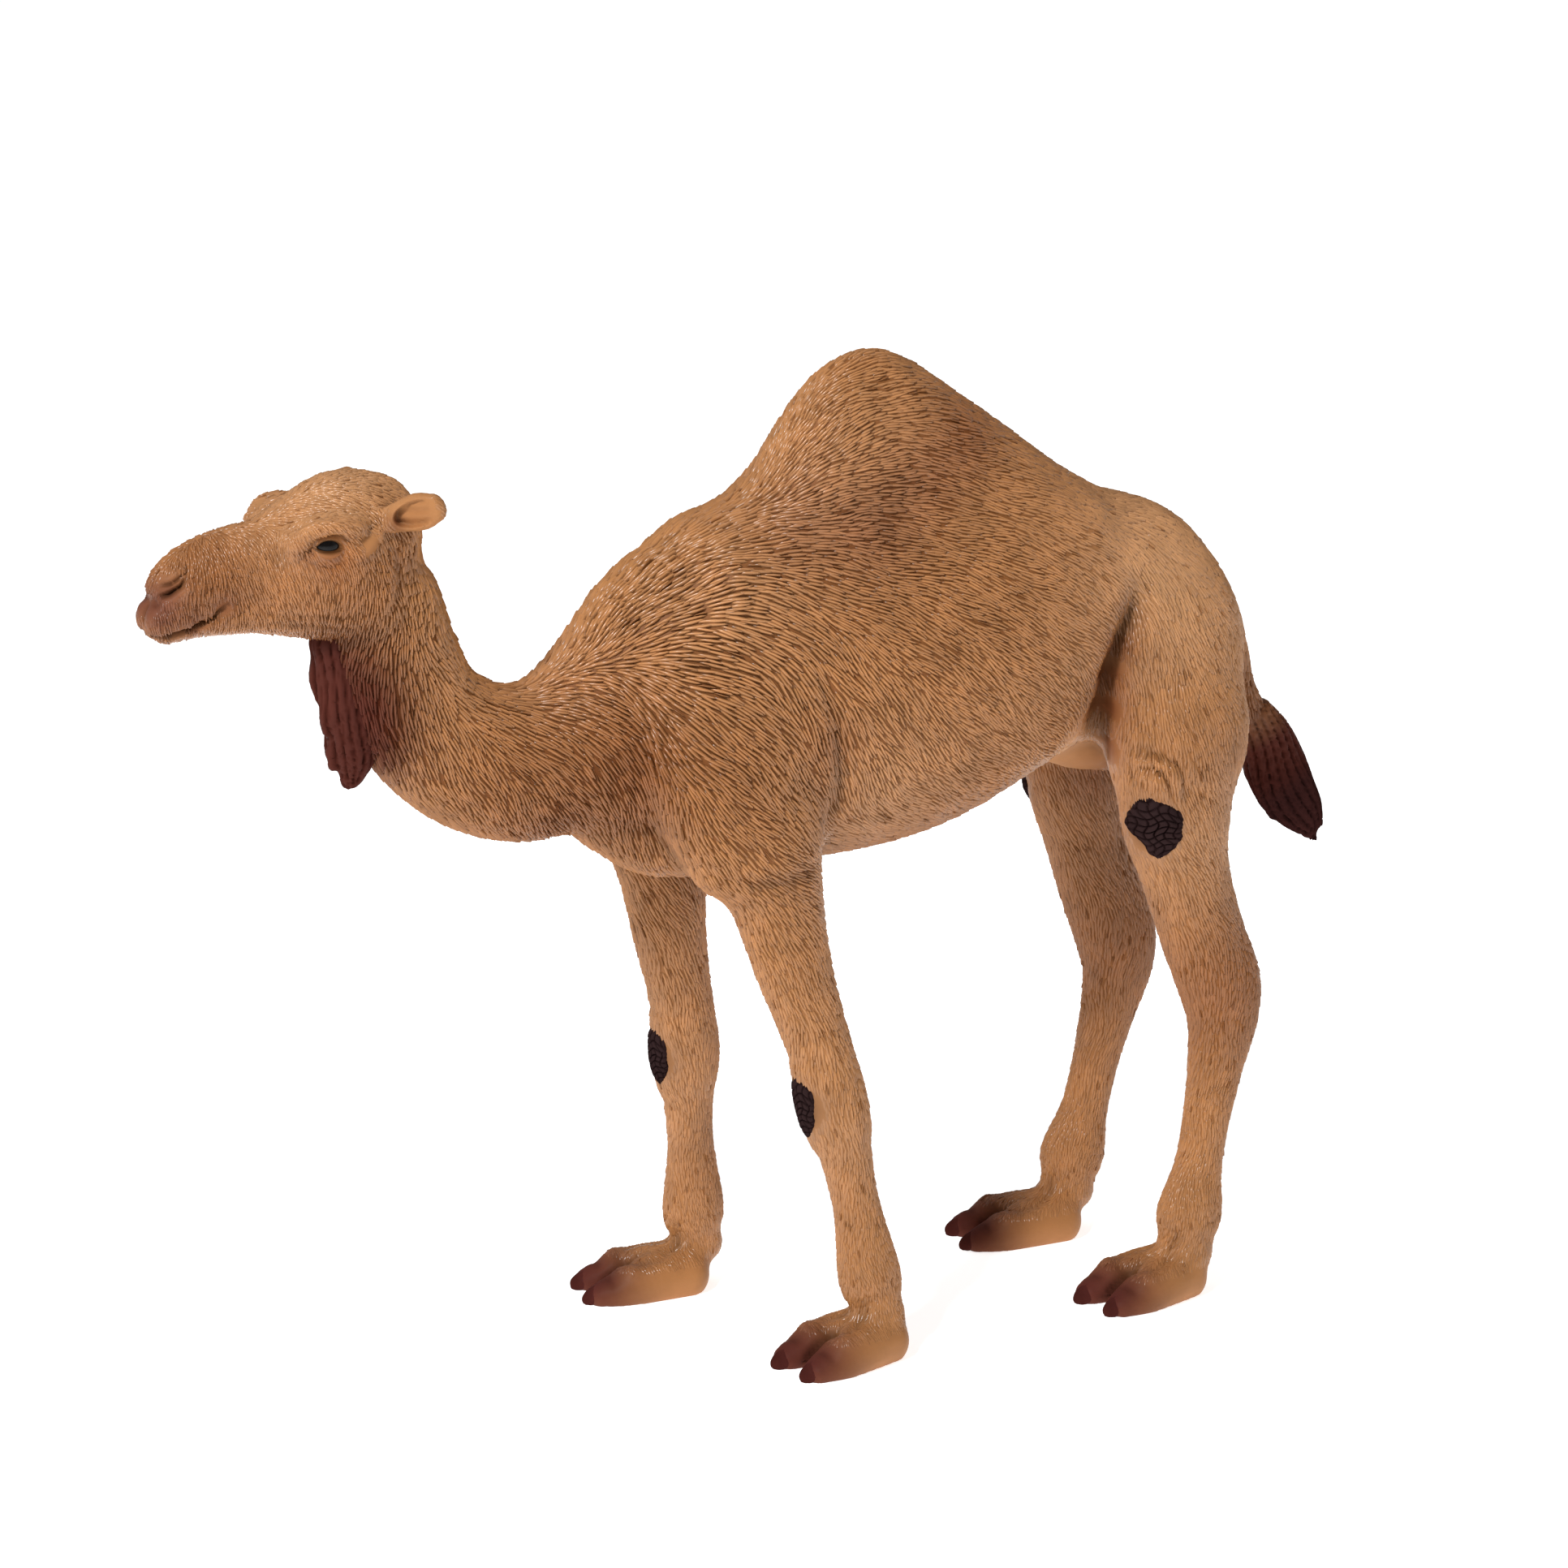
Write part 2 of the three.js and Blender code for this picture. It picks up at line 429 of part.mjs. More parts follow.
function makeFeet() {
  for (const [name, foot] of Object.entries(feet)) {
    const box = [[foot.x - 13, foot.y - 11, -4], [foot.x + 13, foot.y + 11, 10]];
    let shape = skin(bodyForms, box, cell.foot).intersect(beyond([0, 0, fetlockLevel], [0, 0, -1], half))
      .intersect(beyond([0, 0, soleLevel], [0, 0, 1], 0));
    for (const [toeName, v] of [['inner', foot.s], ['outer', -foot.s]]) {
      const [x, y] = footPoint(foot, nail.ahead, v * nail.out);
      const turn = -footTurn * foot.s;
      const tip = egg([x, y, nail.z], [nail.long, nail.wide, nail.tall], turn);
      add(`nail_${name}_${toeName}`, shape.intersect(tip), 'nail');
      shape = shape.subtract(egg([x, y, nail.z], [nail.long + gap, nail.wide + gap, nail.tall + gap], turn));
    }
    add(`foot_${name}`, shape, 'flesh');
  }
}

// The throat's mane, the tail and its tuft hang clear of the body by the width of a cut.
function makeHair() {
  const clear = skin(bodyForms, [[-54, -8, 60], [-36, 8, 86]], cell.small, gap);
  add('throat_mane', skin([limb(mane, 1, 1)], [[-54, -5, 60], [-40, 5, 85]], cell.hair).subtract(clear), 'dark');
  const tailCut = [60.3, 0, 60.4];
  const tail = skin([limb(dock, 1, 1), limb(tuft, 1, 1)], [[50, -5, 40], [73, 5, 76]], cell.hair);
  const rump = skin(bodyForms, [[48, -8, 54], [66, 8, 80]], cell.small, gap);
  add('tail', tail.intersect(beyond(tailCut, [-0.3, 0, 1], half)).subtract(rump), 'flesh');
  add('tail_tuft', tail.intersect(beyond(tailCut, [0.3, 0, -1], half)).subtract(rump), 'dark');
}

makeHead();
makeNeckAndTrunk();
makeLegs();
makeFeet();
makeHair();

export default group;
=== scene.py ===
import math

import bpy
import numpy as np
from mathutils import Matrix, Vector
from mathutils.bvhtree import BVHTree
from mathutils.kdtree import KDTree


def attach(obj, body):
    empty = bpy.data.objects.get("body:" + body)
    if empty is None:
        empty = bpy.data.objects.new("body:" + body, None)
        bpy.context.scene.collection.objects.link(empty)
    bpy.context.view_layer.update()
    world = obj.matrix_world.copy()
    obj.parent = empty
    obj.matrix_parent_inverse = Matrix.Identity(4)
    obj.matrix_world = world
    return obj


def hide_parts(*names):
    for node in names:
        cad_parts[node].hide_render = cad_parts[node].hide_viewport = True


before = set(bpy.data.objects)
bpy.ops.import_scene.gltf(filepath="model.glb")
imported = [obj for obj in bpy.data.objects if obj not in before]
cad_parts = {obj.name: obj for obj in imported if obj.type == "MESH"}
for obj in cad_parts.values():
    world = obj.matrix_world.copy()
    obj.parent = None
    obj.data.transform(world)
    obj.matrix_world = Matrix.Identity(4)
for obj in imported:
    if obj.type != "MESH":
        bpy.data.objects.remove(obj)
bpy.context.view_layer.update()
mm = 0.001
scene = bpy.context.scene
print("frame loaded:", len(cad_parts), "pieces")


# camera, light and floor
view = {"azimuth": -27.0, "elevation": 15.5, "distance": 0.7, "target": (0.0028, 0.0, 0.0596), "lens": 152.6}


def addCamera():
    azimuth, elevation = math.radians(view["azimuth"]), math.radians(view["elevation"])
    back = Vector((math.sin(azimuth) * math.cos(elevation), -math.cos(azimuth) * math.cos(elevation),
                   math.sin(elevation)))
    data = bpy.data.cameras.new("camera")
    data.lens = view["lens"]
    data.clip_start = 0.01
    camera = bpy.data.objects.new("camera", data)
    camera.location = Vector(view["target"]) + back * view["distance"]
    camera.rotation_euler = back.to_track_quat("Z", "Y").to_euler()
    scene.collection.objects.link(camera)
    scene.camera = camera


lights = {
    "key": {"place": (-0.4, -0.26, 0.5), "size": 0.08, "watts": 3.45},
    "fill": {"place": (0.5, -0.45, 0.25), "size": 0.5, "watts": 0.12},
    "top": {"place": (0.14, 0.05, 0.62), "size": 0.25, "watts": 0.4},
    "rim": {"place": (-0.3, 0.45, 0.3), "size": 0.4, "watts": 0.25}}
room = {"daylight": 0.23, "floorHalf": 4, "floorWhite": 0.95, "floorRoughness": 0.9, "floorGlow": 0.75}


def addLights():
    for name, lamp in lights.items():
        data = bpy.data.lights.new(name, "AREA")
        data.shape = "DISK"
        data.size = lamp["size"]
        data.energy = lamp["watts"]
        lampObject = bpy.data.objects.new(name, data)
        lampObject.location = lamp["place"]
        toward = Vector(view["target"]) - lampObject.location
        lampObject.rotation_euler = toward.to_track_quat("-Z", "Y").to_euler()
        scene.collection.objects.link(lampObject)
    world = bpy.data.worlds.new("studio")
    world.use_nodes = True
    background = world.node_tree.nodes["Background"]
    background.inputs["Color"].default_value = (1, 1, 1, 1)
    background.inputs["Strength"].default_value = room["daylight"]
    scene.world = world
    scene.view_settings.view_transform = "Standard"


def addFloor():
    half, white = room["floorHalf"], room["floorWhite"]
    mesh = bpy.data.meshes.new("floor")
    verts = [(-half, -half, 0), (half, -half, 0), (half, half, 0), (-half, half, 0)]
    mesh.from_pydata(verts, [], [(0, 1, 2, 3)])
    floor = bpy.data.objects.new("floor", mesh)
    scene.collection.objects.link(floor)
    material = bpy.data.materials.new("paleFloor")
    material.use_nodes = True
    shader = material.node_tree.nodes["Principled BSDF"]
    shader.inputs["Base Color"].default_value = (white, white, white, 1)
    shader.inputs["Roughness"].default_value = room["floorRoughness"]
    shader.inputs["Emission Color"].default_value = (1, 1, 1, 1)
    shader.inputs["Emission Strength"].default_value = room["floorGlow"]
    mesh.materials.append(material)


addCamera()
addLights()
addFloor()
print("camera, lights and floor placed")


# forms: stations of x, y, z, half depth in the side view, half width across
humpFoot = 84
trunkRows = [
    (-17, 0, 66.6, 9.8, 7.4), (-13.5, 0, 68.4, 13.4, 9), (-6, 0, 70.6, 18, 11.9), (5, 0, 71, 19.2, 13.8),
    (15, 0, 71.6, 18.8, 14.4), (24, 0, 73.4, 16.8, 14.2), (33, 0, 75, 14.5, 12.6),
    (41, 0, 74.8, 11.6, 10.4), (46.8, 0, 72.6, 8.6, 8), (51, 0, 70.8, 6.2, 6.2)]
humpRows = [(x, 0, humpFoot, tall, wide) for x, tall, wide in (
    (-6, 3.6, 8), (-0.6, 6.8, 8.4), (3, 12.4, 8.4), (5.9, 17.4, 8.2), (8.8, 20.2, 8), (12.4, 21.3, 7.8),
    (16.4, 20.2, 8.4), (22, 16.2, 9), (29, 10.8, 9.2), (34, 5.8, 8.8))]
neckRows = [
    (-18, 0, 67, 9.8, 7.4), (-23, 0, 66.3, 8.4, 7), (-28, 0, 65.8, 8.1, 6.6), (-33.5, 0, 67.5, 7.6, 6),
    (-38.7, 0, 71.8, 7, 5.5), (-41.6, 0, 78, 6.7, 5.2), (-43.2, 0, 84, 6.4, 5)]
brisketRows = [(-18, 0, 58.2, 3, 4), (-13, 0, 56.6, 4.5, 5.8), (-7.5, 0, 56.2, 4.8, 6.4)]
udderRows = [(32, 0, 62, 2.4, 3), (37.5, 0, 60, 3, 3.6), (41.5, 0, 59.2, 2.8, 3.2)]
shoulderRows = [
    (-7, 4.4, 78, 4.6, 3.2), (-8.6, 6.2, 73.5, 6.2, 4.2), (-9.4, 8.2, 68, 7.4, 4.9),
    (-8.3, 9.3, 62, 7.3, 5), (-6.5, 9.3, 56, 6.2, 4.6)]
thighRows = [
    (42.2, 3.5, 78, 7.4, 4.8), (44.3, 6.2, 72.6, 8.6, 5.4), (45, 8.4, 67, 8.1, 5.1),
    (44.9, 9.6, 61, 7.4, 5)]
frontLegRows = [
    (-6.3, 9.2, 57, 6.2, 4.6), (-4.8, 9.3, 49.5, 4.8, 4), (-3.4, 10, 42, 4, 3.3),
    (-1.6, 10.9, 35, 3.5, 2.8), (-0.5, 11.6, 29, 3.85, 3.1), (0, 12.1, 25.6, 3.7, 3.1),
    (0.6, 12.6, 22.3, 2.9, 2.4), (1.4, 13.3, 16.5, 2.6, 2.1), (2.3, 14.1, 9, 3.5, 2.75),
    (2.6, 14.4, 6.4, 3, 2.6), (2.8, 14.5, 4.6, 3.2, 2.8)]
hindLegRows = [
    (45, 9.6, 63, 7.3, 4.9), (44.3, 10.2, 54, 6.3, 4.8), (45.4, 10.3, 47.5, 5, 4.1),
    (47.6, 10.4, 40, 4.7, 3.7), (49.8, 10.5, 34, 4.7, 3.6), (50.2, 10.6, 30, 4.1, 3.1),
    (49.1, 10.9, 24.5, 3.2, 2.5), (47.8, 11.2, 18.5, 2.7, 2.2), (46.8, 11.4, 13.8, 2.8, 2.2),
    (45.6, 11.7, 8.9, 3.8, 2.9), (45.1, 11.8, 6.4, 3.3, 2.7), (44.8, 11.8, 4.6, 3.4, 2.9)]
toeRows = [
    (-4, 0.9, 1.8, 3.2, 3.5), (-0.6, 1.9, 1.8, 2.9, 3.2), (2.8, 2.5, 1.2, 2.4, 2.7),
    (5.4, 2.6, 0.7, 1.6, 1.9)]
skullRows = [
    (-44.2, 0, 90.9, 7, 5.2), (-47.6, 0, 91.3, 7.2, 6), (-51.5, 0, 90, 5.9, 5.6)]
muzzleRows = [
    (-51, 0, 89.5, 5.5, 5.1), (-55, 0, 89.3, 5.1, 4.2), (-59.5, 0, 89.4, 4.7, 3.7),
    (-63.5, 0, 88.7, 4, 3.4), (-65.4, 0, 88.2, 3.1, 2.9)]
jawRows = [
    (-44.5, 0, 85.2, 3.9, 4.6), (-50, 0, 84.9, 3.2, 4), (-56, 0, 85.2, 2.3, 3.1), (-61, 0, 85.2, 2, 2.6),
    (-65.8, 0, 85, 1.8, 2.2)]
orbitRows = [(-51.6, 4.5, 91.6, 2.4, 2.3), (-49, 4.6, 91.4, 2.6, 2.3)]
browRows = [
    (-54.4, 4.9, 92.9, 1.5, 1.6), (-52.2, 5.9, 93.6, 1.9, 1.7), (-49.6, 6, 93.7, 1.9, 1.6),
    (-47.4, 5.1, 92.8, 1.6, 1.6)]
cheekRows = [
    (-54, 2.9, 87.9, 2.6, 1.7), (-49.5, 4, 87.6, 3.8, 2.2), (-45.6, 4.1, 87.3, 4.3, 2.3)]
lipRows = [(-66, 1.2, 86, 2.4, 2), (-67.2, 1.2, 85.4, 2.2, 1.8)]
eyeHollowRows = [(-52.9, 8.5, 92.6, 1.5, 1.5), (-50.8, 8.7, 92.3, 1.6, 1.6)]
earRows = [
    (-44.9, 4.7, 94, 1.2, 1.1), (-43.4, 6.2, 94.7, 1.8, 1.3), (-41.9, 7.7, 95.4, 2.2, 1.4),
    (-40.8, 8.8, 95.9, 1.7, 1.2)]
earShift = {-1: (0, 0, 0), 1: (-1.4, 0.6, -0.75)}
dockRows = [
    (54.6, 0, 71.2, 2.8, 2.4), (56.9, 0, 68, 2.2, 1.9), (58.1, 0, 64, 1.9, 1.6), (59.8, 0, 60.4, 1.9, 1.7)]
tuftRows = [
    (60.4, 0, 60.2, 2.2, 1.8), (61.9, 0, 57.2, 3.2, 2.3), (63.6, 0, 53.2, 3.6, 2.5),
    (65.8, 0, 49.4, 2.8, 2.1), (67.6, 0, 46.9, 1.4, 1.2)]
maneRows = [
    (-48.3, 0, 81, 2.6, 2.2), (-47.5, 0, 76.4, 2.5, 2.4), (-46.7, 0, 72.6, 2.7, 2.4),
    (-46.2, 0, 69.2, 2.3, 2.1), (-46.5, 0, 66.8, 1.3, 1.1)]

# the right leg of a pair stands ahead of the left by twice this: at the body, on the ground
frontStride = (2.2, 3.7)
hindStride = (0.3, 0.8)
strideHeight = 50.0
feet = {"front_left": (2.3, -14.8, -1), "front_right": (-6.9, 14.8, 1),
        "hind_left": (40.6, -11.8, -1), "hind_right": (37.9, 11.8, 1)}
footTurn = math.radians(10)
eye = {"at": (-51.35, 5.7, 92.6), "radius": 1.5, "rings": 28, "spokes": 56}
sides = (-1, 1)


def sampled(rows, step):
    # a Catmull-Rom curve through the rows, one sample about every step
    r = np.array(rows, float)
    p = np.vstack([2 * r[0] - r[1], r, 2 * r[-1] - r[-2]])
    out = []
    for a, b, c, d in zip(p[:-3], p[1:-2], p[2:-1], p[3:]):
        count = max(2, int(np.ceil(np.linalg.norm(c[:3] - b[:3]) / step)))
        t = np.arange(count)[:, None] / count
        out.append(0.5 * (2 * b + (c - a) * t + (2 * a - 5 * b + 4 * c - d) * t ** 2
                          + (3 * b - a - 3 * c + d) * t ** 3))
    return np.vstack(out + [r[-1:]])


def limb(rows, step, blend, cap=1.0, hollow=False):
    # an elliptical section that follows the rows; blend is how softly it joins what it meets
    s = sampled(rows, step)
    at = s[:, :3]
    along = np.diff(at, axis=0)
    length = np.linalg.norm(along, axis=1)
    along = along / length[:, None]
    across = np.array([0.0, 1.0, 0.0]) - along[:, 1:2] * along
    across = across / np.linalg.norm(across, axis=1)[:, None]
    girth = np.maximum(s[:, 3], s[:, 4])[:, None]
    return {"at": at, "deepHalf": s[:, 3], "wideHalf": s[:, 4], "length": length, "along": along,
            "across": across, "deep": np.cross(along, across), "blend": blend, "cap": cap, "hollow": hollow,
            "low": (at - girth).min(0), "high": (at + girth).max(0)}


def limbField(form, points):
    best = np.full(len(points), 1000.0)
    for i, length in enumerate(form["length"]):
        q = points - form["at"][i]
        u = q @ form["along"][i]
        w = np.clip(u / length, 0, 1)
        a = form["deepHalf"][i] + (form["deepHalf"][i + 1] - form["deepHalf"][i]) * w
        b = form["wideHalf"][i] + (form["wideHalf"][i + 1] - form["wideHalf"][i]) * w
        r = np.minimum(a, b) * form["cap"]
        x, y, z = q @ form["deep"][i] / a, q @ form["across"][i] / b, (u - w * length) / r
        k = np.sqrt(x * x + y * y + z * z)
        slope = np.sqrt((x / a) ** 2 + (y / b) ** 2 + (z / r) ** 2)
        d = np.where(k > 0.3, k * (k - 1) / np.maximum(slope, 1e-6), -0.7 * np.minimum(a, b))
        np.minimum(best, d, out=best)
    return best


def smoothMin(a, b, blend):
    h = np.maximum(blend - np.abs(a - b), 0) / blend
    return np.minimum(a, b) - h * h * blend / 4


def fieldOf(forms, points, reach=6.0):
    # signed distance, near enough: below zero inside
    d = np.full(len(points), 50.0)
    for form in forms:
        room = reach + form["blend"]
        near = np.flatnonzero(((points > form["low"] - room) & (points < form["high"] + room)).all(1))
        if not len(near):
            continue
        own = limbField(form, points[near])
        if form["hollow"]:
            d[near] = -smoothMin(-d[near], own, form["blend"])
        else:
            d[near] = smoothMin(d[near], own, form["blend"])
    return d


def mirrored(rows, side):
    return [(x, side * y, z, a, b) for x, y, z, a, b in rows]


def strode(rows, side, stride):
    top, ground = stride
    ahead = [top + (ground - top) * (1 - min(row[2], strideHeight) / strideHeight) for row in rows]
    return [(row[0] - side * shift, side * row[1], *row[2:]) for row, shift in zip(rows, ahead)]


def footPoint(foot, forward, out):
    x, y, side = foot
    c, s = math.cos(footTurn), math.sin(footTurn) * side
    return x - forward * c - out * s, y + forward * s - out * c


def bodyForms():
    forms = [limb(trunkRows, 2, 6), limb(humpRows, 1, 5, 0.5), limb(neckRows, 1.5, 4),
             limb(brisketRows, 1.5, 2), limb(udderRows, 1.5, 2.5)]
    for side in sides:
        forms += [limb(mirrored(shoulderRows, side), 1.5, 4), limb(mirrored(thighRows, side), 1.5, 6)]
    forms += [limb(strode(frontLegRows, side, frontStride), 1.2, 3) for side in sides]
    forms += [limb(strode(hindLegRows, side, hindStride), 1.2, 3) for side in sides]
    for foot in feet.values():
        for v in (1, -1):
            toe = [(*footPoint(foot, ahead, v * out), z, a, b) for ahead, out, z, a, b in toeRows]
            forms.append(limb(toe, 0.8, 1.2))
    forms += [limb(skullRows, 1, 2.5), limb(muzzleRows, 1, 2.5), limb(jawRows, 1, 1.6)]
    for side in sides:
        forms += [limb(mirrored(orbitRows, side), 0.7, 2.4), limb(mirrored(browRows, side), 0.7, 1.6),
                  limb(mirrored(cheekRows, side), 0.8, 2.2), limb(mirrored(lipRows, side), 0.5, 1),
                  limb(mirrored(eyeHollowRows, side), 0.5, 1, hollow=True)]
    for side, (dx, dy, dz) in earShift.items():
        forms.append(limb([(x + dx, side * y + dy, z + dz, a, b) for x, y, z, a, b in earRows], 0.6, 0.8))
    return forms + [limb(dockRows, 1, 2.5)]


# meshes from forms
cubeCorners = np.array([(x, y, z) for x in (0, 1) for y in (0, 1) for z in (0, 1)])
cubeEdges = [(a, b) for a in range(8) for b in range(a + 1, 8)
             if np.abs(cubeCorners[a] - cubeCorners[b]).sum() == 1]


def netted(forms, low, high, cell, coarse=4):
    # one vertex in each cell that the surface crosses, joined across every edge that it crosses
    low = np.array(low, float)
    count = np.ceil((np.array(high) - low) / cell / coarse).astype(int)
    wide = cell * coarse
    lines = [low[i] + wide * np.arange(count[i] + 1) for i in range(3)]
    grid = np.stack(np.meshgrid(*lines, indexing="ij"), -1)
    rough = fieldOf(forms, grid.reshape(-1, 3), wide * 2).reshape(count + 1)
    around = [rough[tuple(slice(c[i], count[i] + c[i]) for i in range(3))] for c in cubeCorners]
    near = np.min(np.abs(around), 0) < wide * 1.2
    total = count * coarse + 1

    def spread(values):
        for axis in range(3):
            values = np.repeat(values, coarse, axis)
        return values

    field = np.pad(spread(rough[:-1, :-1, :-1]), ((0, 1),) * 3, mode="edge")
    needed = np.zeros(total, bool)
    fine = spread(near)
    for c in cubeCorners:
        needed[tuple(slice(c[i], c[i] + fine.shape[i]) for i in range(3))] |= fine
    field[needed] = fieldOf(forms, low + np.argwhere(needed) * cell)
    inside = field < 0
    corners = [inside[tuple(slice(c[i], total[i] - 1 + c[i]) for i in range(3))] for c in cubeCorners]
    held = np.sum(corners, 0)
    active = (held > 0) & (held < 8)
    cells = np.argwhere(active)
    number = np.full(active.shape, -1)
    number[active] = np.arange(len(cells))
    values = [field[tuple((cells + c).T)] for c in cubeCorners]
    place, crossings = np.zeros((len(cells), 3)), np.zeros(len(cells))
    for i, j in cubeEdges:
        crossed = (values[i] < 0) != (values[j] < 0)
        t = values[i][crossed] / (values[i][crossed] - values[j][crossed])
        place[crossed] += cubeCorners[i] + t[:, None] * (cubeCorners[j] - cubeCorners[i])
        crossings[crossed] += 1
    verts = low + (cells + place / crossings[:, None]) * cell
    quads = []
    for axis in range(3):
        step, second, third = np.eye(3, dtype=int)[[axis, (axis + 1) % 3, (axis + 2) % 3]]
        here = inside[tuple(slice(0, total[k] - step[k]) for k in range(3))]
        beyond = inside[tuple(slice(step[k], total[k]) for k in range(3))]
        at = np.argwhere(here != beyond)
        quad = np.stack([number[tuple((at - d).T)] for d in (second + third, third, 0 * third, second)], 1)
        outward = ~here[tuple(at.T)]
        quad[outward] = quad[outward][:, ::-1]
        quads.append(quad)
    quads = np.vstack(quads)
    return verts, np.vstack([quads[:, [0, 1, 2]], quads[:, [0, 2, 3]]])


def settled(forms, verts, level, times=2):
    # slides each vertex along the field's slope onto the surface at that level
    for _ in range(times):
        d = fieldOf(forms, verts)
        slope = np.stack([fieldOf(forms, verts + 0.05 * axis) - d for axis in np.eye(3)], -1) / 0.05
        verts = verts - ((d - level) / np.maximum((slope ** 2).sum(1), 0.1))[:, None] * slope
    return verts


def relaxed(verts, tris, share=0.5):
    # each vertex moves towards the middle of its neighbours
    total, around = np.zeros_like(verts), np.zeros(len(verts))
    for a, b in ((0, 1), (1, 2), (2, 0)):
        for i, j in ((a, b), (b, a)):
            for k in range(3):
                total[:, k] += np.bincount(tris[:, i], verts[tris[:, j], k], len(verts))
            around += np.bincount(tris[:, i], minlength=len(verts))
    return verts + share * (total / np.maximum(around, 1)[:, None] - verts)


def refined(verts, tris, chosen):
    # halves every edge of the chosen triangles, and joins their neighbours to the new vertices
    count = len(verts)
    edges = np.sort(tris[:, [0, 1, 1, 2, 2, 0]].reshape(-1, 2), 1)
    keys = edges[:, 0] * count + edges[:, 1]
    split = np.unique(keys[np.repeat(chosen, 3)])
    slot = np.minimum(np.searchsorted(split, keys), len(split) - 1)
    middle = np.where(split[slot] == keys, count + slot, -1).reshape(-1, 3)
    verts = np.vstack([verts, (verts[split // count] + verts[split % count]) / 2])
    halves = (middle >= 0).sum(1)
    out = [tris[halves == 0]]
    t, m = tris[halves == 3], middle[halves == 3]
    out += [np.stack(three, 1) for three in ((t[:, 0], m[:, 0], m[:, 2]), (m[:, 0], t[:, 1], m[:, 1]),
                                             (m[:, 2], m[:, 1], t[:, 2]), (m[:, 0], m[:, 1], m[:, 2]))]
    for k in range(3):
        turn = [k, (k + 1) % 3, (k + 2) % 3]
        one = (halves == 1) & (middle[:, k] >= 0)
        (a, b, c), m = tris[one][:, turn].T, middle[one, k]
        out += [np.stack((a, m, c), 1), np.stack((m, b, c), 1)]
        two = (halves == 2) & (middle[:, k] < 0)
        (a, b, c), (_, m1, m2) = tris[two][:, turn].T, middle[two][:, turn].T
        out += [np.stack((a, b, m1), 1), np.stack((a, m1, m2), 1), np.stack((m2, m1, c), 1)]
    return verts, np.vstack(out)


def normalsOf(verts, tris):
    face = np.cross(verts[tris[:, 1]] - verts[tris[:, 0]], verts[tris[:, 2]] - verts[tris[:, 0]])
    total = np.stack([sum(np.bincount(tris[:, i], face[:, k], len(verts)) for i in range(3))
                      for k in range(3)], 1)
    return total / np.maximum(np.linalg.norm(total, axis=1), 1e-9)[:, None]


def makeObject(name, verts, faces, material):
    # verts in millimetres; faces is an array of triangles or a list of polygons
    mesh = bpy.data.meshes.new(name)
    mesh.from_pydata((np.asarray(verts) * mm).tolist(), [], [list(map(int, face)) for face in faces])
    mesh.polygons.foreach_set("use_smooth", [True] * len(mesh.polygons))
    if material:
        mesh.materials.append(material)
    mesh.update()
    piece = bpy.data.objects.new(name, mesh)
    scene.collection.objects.link(piece)
    return piece


def storeAttribute(piece, name, values):
    values = np.asarray(values, np.float32)
    kind = {1: "FLOAT", 2: "FLOAT_VECTOR"}[values.ndim]
    layer = piece.data.attributes.new(name, kind, "POINT")
    layer.data.foreach_set("value" if values.ndim == 1 else "vector", values.ravel())


def smoothStep(low, high, value):
    t = np.clip((value - low) / (high - low), 0, 1)
    return t * t * (3 - 2 * t)


# skin: body, legs, feet, head, ears and tail in one surface
skinShape = {"cell": 0.84, "depth": 0.16, "low": (-73, -21, -6), "high": (64, 21, 107)}
forms = bodyForms()
eyePlaces = [np.array([eye["at"][0], side * eye["at"][1], eye["at"][2]]) for side in sides]
nostrilPlace = np.array([-66.9, 2.9, 89.3])


def within(points, places, reach):
    return np.min([np.linalg.norm(points - place, axis=1) for place in places], 0) < reach


def bodySkin():
    level = -skinShape["depth"]
    verts, tris = netted(forms, skinShape["low"], skinShape["high"], skinShape["cell"])
    verts = settled(forms, relaxed(settled(forms, verts, level), tris), level)
    nostrils = [nostrilPlace, nostrilPlace * (1, -1, 1)]
    ears = [np.array([-42.4, side * 7.2, 95.2]) for side in sides]
    stifles = [np.array([40, side * 14, 57]) for side in sides]
    finer = [
        lambda c: ((c[:, 0] < -42) & (c[:, 2] > 81)) | (c[:, 2] < 8)
        | within(c * (1, 0, 1), [(37, 0, 76), (36, 0, 70), (36, 0, 63), (39, 0, 57)], 6.5)
        | within(c * (1, 0, 1), [(1, 0, 74), (3, 0, 68), (3, 0, 61), (-20, 0, 69), (-18, 0, 61)], 4),
        lambda c: ((c[:, 0] < -60) | within(c, eyePlaces, 4.4) | within(c, ears, 4.6)
                   | within(c, stifles, 6.5)),
        lambda c: within(c, eyePlaces, 2.5) | within(c, nostrils, 3.4)]
    for chosen in finer:
        verts, tris = refined(verts, tris, chosen(verts[tris].mean(1)))
        verts = settled(forms, relaxed(verts, tris, 0.3), level, 1)
    return verts, tris


